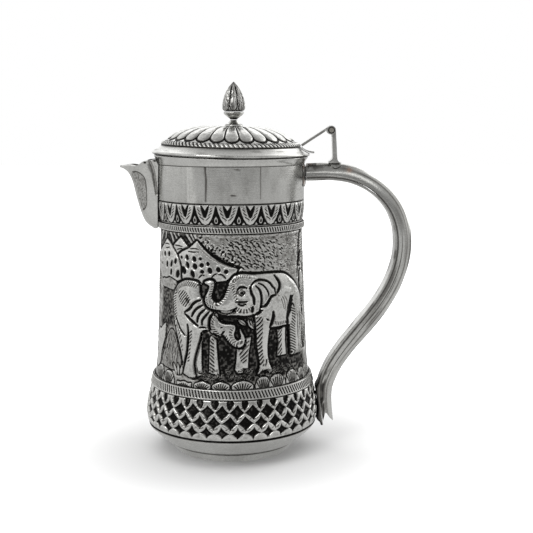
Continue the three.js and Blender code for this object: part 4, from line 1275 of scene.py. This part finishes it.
HINGE = np.array([66.0, 214.0])  # x and z of the pin
KNUCKLE_RADIUS, BORE_RADIUS = 2.9, 1.7
HINGE_WIDTH, LID_KNUCKLE_WIDTH = 10.4, 4.6


def barrel(radius, width, dark=0.0):
    """A round bar along the pin."""
    a = np.arange(48) / 48 * TURN
    return prism(HINGE + radius * np.column_stack([np.cos(a), np.sin(a)]), width, dark)


def hinge():
    right = curve([(72.0, 192.6), (70.5, 194), (69.9, 196.6), (69.5, 204), (69.1, 210),
                   (68.9, 214)], steps=4)
    left = curve([(66.4, 214), (66.8, 204), (67.0, 197), (66.4, 194.9), (64.6, 193.6)], steps=4)
    post = prism(np.vstack([right, left, [(64.4, 192.6)]]), HINGE_WIDTH, 0.06)
    slot = prism([(61.5, 209.5), (70.5, 209.5), (70.5, 218.5), (61.5, 218.5)], 5.2)
    # The foot spreads down over both sides of the handle.
    rows = np.flatnonzero((HANDLE[:, 0] > 64.2) & (HANDLE[:, 0] < 72.6) & (HANDLE[:, 1] > 180))
    turn = np.linspace(math.pi * 0.22, math.pi * 0.78, 41)[None, :]
    thickness = HANDLE[rows, 2:]
    foot = []
    for lift in (0.35, 1.15):
        place = np.linspace(0, 1, len(rows))[:, None]
        waist = 0.6 + 0.4 * np.sin(place * math.pi) ** 0.7
        spread = (turn - math.pi / 2) * waist + math.pi / 2
        foot.append(on_handle(
            rows, (HANDLE_HALF_WIDTH + lift) * np.cos(spread),
            SEAM_DEPTH - thickness / 2 + (thickness - SEAM_DEPTH + lift) * np.sin(spread)))
    flaps = Surface()
    flaps.slab(foot[1], foot[0], 0.1, flip=True)
    mesh = worked(post, join=[barrel(KNUCKLE_RADIUS, HINGE_WIDTH, 0.25), flaps],
                  cut=[slot, barrel(BORE_RADIUS, 40, 0.95)], bevel=0.22)
    finished(mesh, "hinge_post", "jug", SATIN)

    lathe("hinge_pin", [[0, -6.35, 1], [1.5, -6.35], [2.1, -6.1], [2.3, -5.7, 1], [2.3, -5.3, 1],
                        [1.6, -5.3, 1], [1.6, 5.3, 1], [2.3, 5.3, 1], [2.3, 5.7, 1], [2.1, 6.1],
                        [1.5, 6.35], [0, 6.35, 1]],
          "jug", DULL, columns=48,
          dark=lambda r, z, s: 0.9 * soft(r, 1.35, 1.9) * (r < 2.4),
          place=lambda p: p[..., [0, 2, 1]] * [1, 1, -1] + [HINGE[0], 0, HINGE[1]])

    # The lid's strap leaves the top of its knuckle and falls toward the lid.
    fall = math.radians(33)
    downhill = np.array([-math.cos(fall), -math.sin(fall)])
    inward = np.array([math.sin(fall), -math.cos(fall)])
    top = HINGE - KNUCKLE_RADIUS * inward

    def strap(start, end, width):
        corners = [(start, 0), (end, 0), (end, 1.5), (start, 1.5)]
        return prism([top + a * downhill + b * inward for a, b in corners], width, 0.15)

    mesh = worked(barrel(KNUCKLE_RADIUS, LID_KNUCKLE_WIDTH, 0.25),
                  join=[strap(0, 5, LID_KNUCKLE_WIDTH), strap(4, 21.7, 8)],
                  cut=[barrel(BORE_RADIUS, 20)], bevel=0.2)
    finished(mesh, "lid_arm", "lid", SATIN)
    under = curve([(47.2, 201.9), (49.5, 200.5), (52.3, 199.2), (53.6, 198.9), (54.9, 198.9)],
                  steps=4)
    over = curve([(54.9, 200.0), (53.0, 200.3), (50.0, 201.0), (47.9, 202.1), (47.0, 202.9)],
                 steps=4)
    mesh = worked(prism(np.vstack([[(46.2, 202.9)], under, over]), 9), bevel=0.22)
    finished(mesh, "lid_bracket", "lid", POLISHED)


# ------------------------------------------------------------------ lid

def lid():
    # The flange's lower outer edge is painted dark as the shade in the gap over the rim; its top is
    # darkened at the joint with the rope, with faint random patches.
    lathe("lid_flange", [[45.2, 197.2, 1], [51.4, 197.2, 1], [52.0, 197.6], [52.1, 198.3],
                         [51.8, 198.9, 1], [50.6, 199.5], [49.2, 200.3], [47.9, 201.1],
                         [46.9, 201.8], [46.2, 202.5], [45.9, 203.0, 1], [45.2, 203.0, 1]],
          "lid", POLISHED, columns=320, wobble=0.09, place=bent,
          dark=lambda r, z, s: 0.9 * soft(z, 202.2, 202.9)
          + 0.75 * (1 - soft(z, 197.3, 197.7)) * soft(r, 50.6, 51.4)
          + 0.25 * soft(noise(s, z * 7, 9, 98, ROUND), 0.1, 0.8))
    lathe("lid_bezel", [[44.4, 191.3, 1], [44.9, 192.1], [44.9, 203, 1], [43.7, 203, 1],
                        [43.7, 191.6, 1]],
          "lid", POLISHED, columns=160)

    # A rope of slanting strands between the flange and the petals.
    strands = 98
    around_rope = np.arange(strands * 12 // COARSE) / (strands * 12 // COARSE) * ROUND
    section = curve([(45.9, 203.3), (45.6, 204.4), (44.9, 205.2), (43.9, 205.7), (43.5, 204.6),
                     (44.0, 203.3)], closed=True, steps=5)
    part = np.arange(len(section)) / len(section)
    s, p = np.meshgrid(around_rope, part)
    strand = np.cos(TURN * (s / (ROUND / strands) + 1.7 * p))
    bulge = soft(p, 0.02, 0.14) * (1 - soft(p, 0.44, 0.58))
    rise = 0.22 * strand * bulge
    centre = section.mean(0)
    out = section - centre
    out /= np.linalg.norm(out, axis=1, keepdims=True)
    radius = section[:, :1] + out[:, :1] * rise
    height = section[:, 1:] + out[:, 1:] * rise
    rope = Surface()
    front = 1 - 0.45 * np.exp(-((np.mod(s + ROUND / 2, ROUND) - ROUND / 2) / 14) ** 2)
    dark = np.clip(0.95 * (1 - soft(strand, -0.6, 0.1)) * bulge * front + 0.7 * (1 - bulge), 0, 1)
    rope.patch(bent(around(s, radius, height)), dark, ring=True, loop=True)
    rope.build("lid_rope_border", "lid", CHASED)


def lid_dome():
    """Twenty-six long petals with round outer ends, fading out under the finial."""
    petals = 26
    columns = 702 // COARSE
    r, a = np.meshgrid(np.linspace(43.2, 2.4, 124 // COARSE), np.arange(columns) / columns * TURN,
                       indexing="ij")
    top = curve([(2.4, 215.6), (12.2, 215.5), (20, 214.9), (28, 213.4), (35, 210.8), (38.8, 208.5),
                 (42, 206.5), (43.2, 205.9)], steps=8)
    height = np.interp(r, top[:, 0], top[:, 1])
    angle = np.mod(a - math.radians(2.9) + TURN / petals / 2, TURN / petals) - TURN / petals / 2
    half = r * TURN / petals / 2
    round_end = 5.0
    reach = np.maximum(0, r - (42.0 - round_end))
    depth = half - np.sqrt((angle * r) ** 2 + (reach * half / round_end) ** 2)
    fade = soft(r, 11.0, 19.0)
    petal = dome(depth / (0.7 * half)) * (depth > 0)
    line = 1 - soft(np.abs(depth + 0.05), 0.32, 0.75)
    corner = (1 - soft(-depth, 0.4, 1.1)) * (depth < 0) * (1 - soft(r, 39.2, 40.6))
    rise = 1.25 * petal * fade - 0.35 * line * fade
    line = np.maximum(line, corner) * soft(r, 13.5, 20.5)
    dark = np.maximum(line, 0.75 * soft(r, 42.6, 43.0))
    speckle = noise(a * 38, r, 1.2, 95, 38 * TURN)
    dark = dark + 0.12 * soft(speckle, 0.0, 0.9) * fade
    # Streaks run out from the finial over the plain centre.
    rays = noise(a * 12, r * 0.16, 0.9, 96, 12 * TURN)
    middle = 1 - soft(r, 12.5, 16)
    dark = np.clip(dark + (0.55 * soft(rays, -0.1, 0.6) + 0.12) * middle, 0, 1)
    rise = rise + 0.10 * rays * middle + 0.05 * speckle
    edge = 1.9 * (1 - soft(r, 2.4, 30))
    points = np.stack([r * np.sin(a) + edge, -r * np.cos(a), height + rise * soft(r, 2.4, 4)], -1)
    points = bent(points)
    inner_r, inner_a = np.meshgrid(np.linspace(2.4, 42.2, 24 // COARSE), a[0], indexing="ij")
    under = np.interp(inner_r, [2.4, 19.6, 27.4, 34.2, 42.2], [214.5, 213.8, 212.3, 209.6, 204.5])
    edge = 1.9 * (1 - soft(inner_r, 2.4, 30))
    inner = bent(np.stack([inner_r * np.sin(inner_a) + edge, -inner_r * np.cos(inner_a), under],
                          -1))
    skin = Surface()
    skin.patch(np.vstack([points, inner]), np.vstack([dark, np.full(inner_r.shape, 0.3)]),
               ring=True, loop=True)
    skin.build("lid_dome", "lid", CHASED, sharp=60)


# ------------------------------------------------------------------ finial

FINIAL_X = 1.9


def off_centre(points):
    return points + [FINIAL_X, 0, 0]


def finial():
    lathe("finial_base", [[1.9, 216.2, 1], [5.4, 216.2], [6.0, 216.6], [6.0, 217.2],
                          [5.6, 217.7, 1],
                          [4.6, 218.2], [3.5, 219.1], [2.6, 220.1], [2.3, 220.6, 1], [0, 220.6, 1],
                          [0, 218.6, 1], [1.9, 218.6, 1]],
          "lid", POLISHED, columns=72, place=off_centre,
          dark=lambda r, z, s: 0.6 * (1 - soft(np.abs(z - 217.7), 0.1, 0.3))
          + 0.7 * soft(z, 220.2, 220.5))
    # The calyx has eight flat faces with soft edges between them.
    s = np.arange(96) / 96 * ROUND
    eighth = ROUND / 8
    lean = np.mod(s + eighth / 2, eighth) - eighth / 2
    flat = 1 / np.cos(np.clip(np.abs(lean) / ROUND_RADIUS, 0, math.pi / 8 * 0.93))
    flat *= math.cos(math.pi / 8)
    line = curve([(0, 220.9), (2.0, 220.9), (2.7, 221.5), (4.0, 222.5), (5.2, 223.4), (6.1, 224.2),
                  (6.7, 225.0), (6.6, 225.6), (6.3, 225.9), (0, 225.9)], steps=3)
    radius = np.maximum(line[:, :1], 0) * flat[None, :]
    cup = Surface()
    z = line[:, 1:]
    shade = 0.8 * (1 - soft(z, 221.2, 223.0)) + 0.75 * (1 - soft(np.abs(z - 225.8), 0.1, 0.4))
    cup.patch(off_centre(around(s[None] + eighth / 2, radius, z)), shade, ring=True, loop=True)
    cup.build("finial_cup", "lid", POLISHED, 24)

    # The bud is wrapped in two rows of pointed leaves; here s runs round the bud.
    bud_radius, leaves = 6.9, 8
    girth = bud_radius * TURN
    columns = 288 // COARSE
    bud = Relief(np.arange(columns) / columns * girth - girth / 2,
                 np.linspace(226.2, 245.4, 150 // COARSE), 0.5)
    for k in range(-5, 6):
        s = (k + 0.5) * girth / leaves
        bud.lift([curve([(s, 239.5), (s - 2.32, 234.5), (s - 2.9, 229.6), (s - 2.03, 226.6),
                         (s + 2.03, 226.6), (s + 2.9, 229.6), (s + 2.32, 234.5)], closed=True)],
                 0.45, 1.6, 0, 0.5, 0.2, 0.75)
    for k in range(-5, 6):
        s = k * girth / leaves
        bud.lift([curve([(s, 244.6), (s - 1.9, 240), (s - 2.4, 233.5), (s - 1.9, 228.0), (s, 226.4),
                         (s + 1.9, 228.0), (s + 2.4, 233.5), (s + 1.9, 240)], closed=True)],
                 0.6, 1.7, 0.25, 0.5, 0.2, 0.7)
        bud.cut([(s, 227), (s, 235), (s, 243)], 0.5, 0.2, 0.6)
    dice = np.random.default_rng(97)
    for _ in range(330):
        s, z = dice.uniform(-girth / 2, girth / 2), dice.uniform(227, 239)
        size = dice.uniform(0.6, 1.6)
        lean = dice.normal(0, 0.12)
        bud.cut([(s - lean, z - size), (s + lean, z + size)], 0.42, 0.16, 0.65, 0.6)
    for k in range(-5, 6):
        s = (k + 0.5) * girth / leaves
        bud.pit(s, 240.8, 2.0, 3.4, 0, 0.35, 0.92)
    bud.rise *= soft(bud.z, 226.2, 227.0) * (1 - soft(bud.z, 242.5, 245.2))
    bud.settle(2)
    profile = curve([(6.2, 226.2), (6.9, 228.2), (6.8, 231.4), (5.8, 235.4), (4.2, 239.6),
                     (2.3, 243.2), (0.9, 245.0), (0.35, 245.4)], steps=5)
    radius = np.interp(bud.z_line, profile[:, 1], profile[:, 0])[:, None] - 0.35
    radius = np.maximum(radius + bud.rise * np.minimum(1, radius / 4), 0.05)
    points = around(bud.s / bud_radius * ROUND_RADIUS, radius, bud.z)
    skin = Surface()
    index = skin.patch(off_centre(points), bud.dark, ring=True)
    skin.cap(index[0], flip=True)
    skin.cap(index[-1])
    skin.build("finial_bud", "lid", CHASED, 60)

    for name, outline, columns in (
            ("finial_stud", [[0, 208.2, 1], [1.3, 208.2], [1.6, 208.6, 1], [1.6, 218.3, 1],
                             [0, 218.3, 1]], 40),
            ("finial_washer", [[1.9, 213.7, 1], [5.2, 213.7], [5.4, 213.9], [5.4, 214.3],
                               [5.2, 214.5],
                               [1.9, 214.5, 1]], 64),
            ("finial_nut", [[1.9, 210.8, 1], [3.5, 210.8, 1], [3.8, 211.1, 1], [3.8, 213.1, 1],
                            [3.5, 213.4, 1], [1.9, 213.4, 1]], 6)):
        lathe(name, outline, "lid", DULL, columns=columns, place=off_centre, sharp=30)


collar()
spout()
handle()
hinge()
lid()
lid_dome()
finial()


# ------------------------------------------------------------------ studio

def studio():
    """A pale paper floor in a white room. The metal mirrors a greyer room than the camera
    sees, as it does in a light tent, so that its form shows against the white."""
    mesh = bpy.data.meshes.new("floor")
    mesh.from_pydata([(-4, -4, 0), (4, -4, 0), (4, 4, 0), (-4, 4, 0)], [], [(0, 1, 2, 3)])
    floor = bpy.data.objects.new("floor", mesh)
    bpy.context.scene.collection.objects.link(floor)

    def seen(tree, reflected, direct):
        """A value that differs for what is seen directly and what is mirrored."""
        path = tree.nodes.new("ShaderNodeLightPath")
        mix = tree.nodes.new("ShaderNodeMix")
        mix.data_type = "RGBA"
        tree.links.new(path.outputs["Is Camera Ray"], mix.inputs["Factor"])
        for socket, value in ((mix.inputs["A"], reflected), (mix.inputs["B"], direct)):
            if isinstance(value, bpy.types.NodeSocket):
                tree.links.new(value, socket)
            else:
                socket.default_value = (value, value, value, 1)
        return mix.outputs["Result"]

    def mapped(tree, value, source, target, interpolation="LINEAR"):
        """A value carried from one range to another."""
        node = tree.nodes.new("ShaderNodeMapRange")
        node.interpolation_type = interpolation
        for socket, number in zip(("From Min", "From Max", "To Min", "To Max"), source + target):
            node.inputs[socket].default_value = number
        tree.links.new(value, node.inputs["Value"])
        return node.outputs[0]

    paper = bpy.data.materials.new("pale_floor")
    paper.use_nodes = True
    shader = paper.node_tree.nodes["Principled BSDF"]
    paper.node_tree.links.new(seen(paper.node_tree, 0.33, 0.66), shader.inputs["Base Color"])
    # Away from the jug the paper fades into the white of the room.
    where = paper.node_tree.nodes.new("ShaderNodeTexCoord").outputs["Object"]
    far = paper.node_tree.nodes.new("ShaderNodeVectorMath")
    far.operation = "LENGTH"
    paper.node_tree.links.new(where, far.inputs[0])
    fade = mapped(paper.node_tree, far.outputs["Value"], (0.06, 0.24), (0.0, 1.0), "SMOOTHSTEP")
    paper.node_tree.links.new(seen(paper.node_tree, 0.37, fade), shader.inputs["Emission Color"])
    shader.inputs["Emission Strength"].default_value = 1.0
    shader.inputs["Roughness"].default_value = 0.9
    shader.inputs["Specular IOR Level"].default_value = 0.0
    mesh.materials.append(paper)

    world = bpy.data.worlds.new("studio")
    bpy.context.scene.world = world
    world.use_nodes = True
    tree = world.node_tree
    place = tree.nodes.new("ShaderNodeTexCoord")
    split = tree.nodes.new("ShaderNodeSeparateXYZ")
    tree.links.new(place.outputs["Generated"], split.inputs[0])
    # The room is darker in front of the jug and straight above it.
    room = tree.nodes.new("ShaderNodeMath")
    room.operation = "MULTIPLY"
    tree.links.new(mapped(tree, split.outputs["Y"], (-0.9, 0.3), (0.26, 1.0)), room.inputs[0])
    tree.links.new(mapped(tree, split.outputs["Z"], (0.68, 1.0), (1.3, 0.5)), room.inputs[1])
    back = tree.nodes["Background"]
    tree.links.new(seen(tree, room.outputs[0], 1.0), back.inputs["Color"])

    def softbox(name, at, size, power, aim=(0, 0, 0.11), mirrored=True):
        """A soft light in metres and watts; one that isn't mirrored leaves no highlight."""
        light = bpy.data.lights.new(name, "AREA")
        light.shape, light.size, light.size_y, light.energy = "RECTANGLE", *size, power
        lamp = bpy.data.objects.new(name, light)
        bpy.context.scene.collection.objects.link(lamp)
        lamp.location = at
        lamp.rotation_euler = (Vector(aim) - Vector(at)).to_track_quat("-Z", "Y").to_euler()
        lamp.visible_glossy = mirrored

    softbox("key_softbox", (-0.6, -0.75, 0.95), (0.5, 0.5), 4.2)
    softbox("left_panel", (-0.90, -0.42, 0.40), (0.30, 0.8), 0.33)
    softbox("right_panel", (0.80, 0.50, 0.62), (0.5, 1.1), 2.6)
    softbox("front_strip", (0.1, -1.1, 0.85), (1.4, 0.35), 2.2)
    softbox("fill_softbox", (0.95, -0.45, 0.45), (0.7, 1.1), 0.5, mirrored=False)
    softbox("back_softbox", (0.15, 0.95, 0.90), (1.3, 0.5), 1.6)
    softbox("floor_light", (0.0, 0.0, 1.4), (1.6, 1.6), 12, (0, 0, 0), mirrored=False)


studio()

camera = bpy.data.objects.new("camera", bpy.data.cameras.new("camera"))
bpy.context.scene.collection.objects.link(camera)
camera.location = (0.02345, -0.665, 0.22186)
camera.rotation_euler = (math.radians(81.545), 0, 0)
camera.data.lens, camera.data.sensor_width = 67.49, 36
camera.data.clip_start = 0.01
bpy.context.scene.camera = camera
bpy.context.scene.view_settings.view_transform = "Standard"
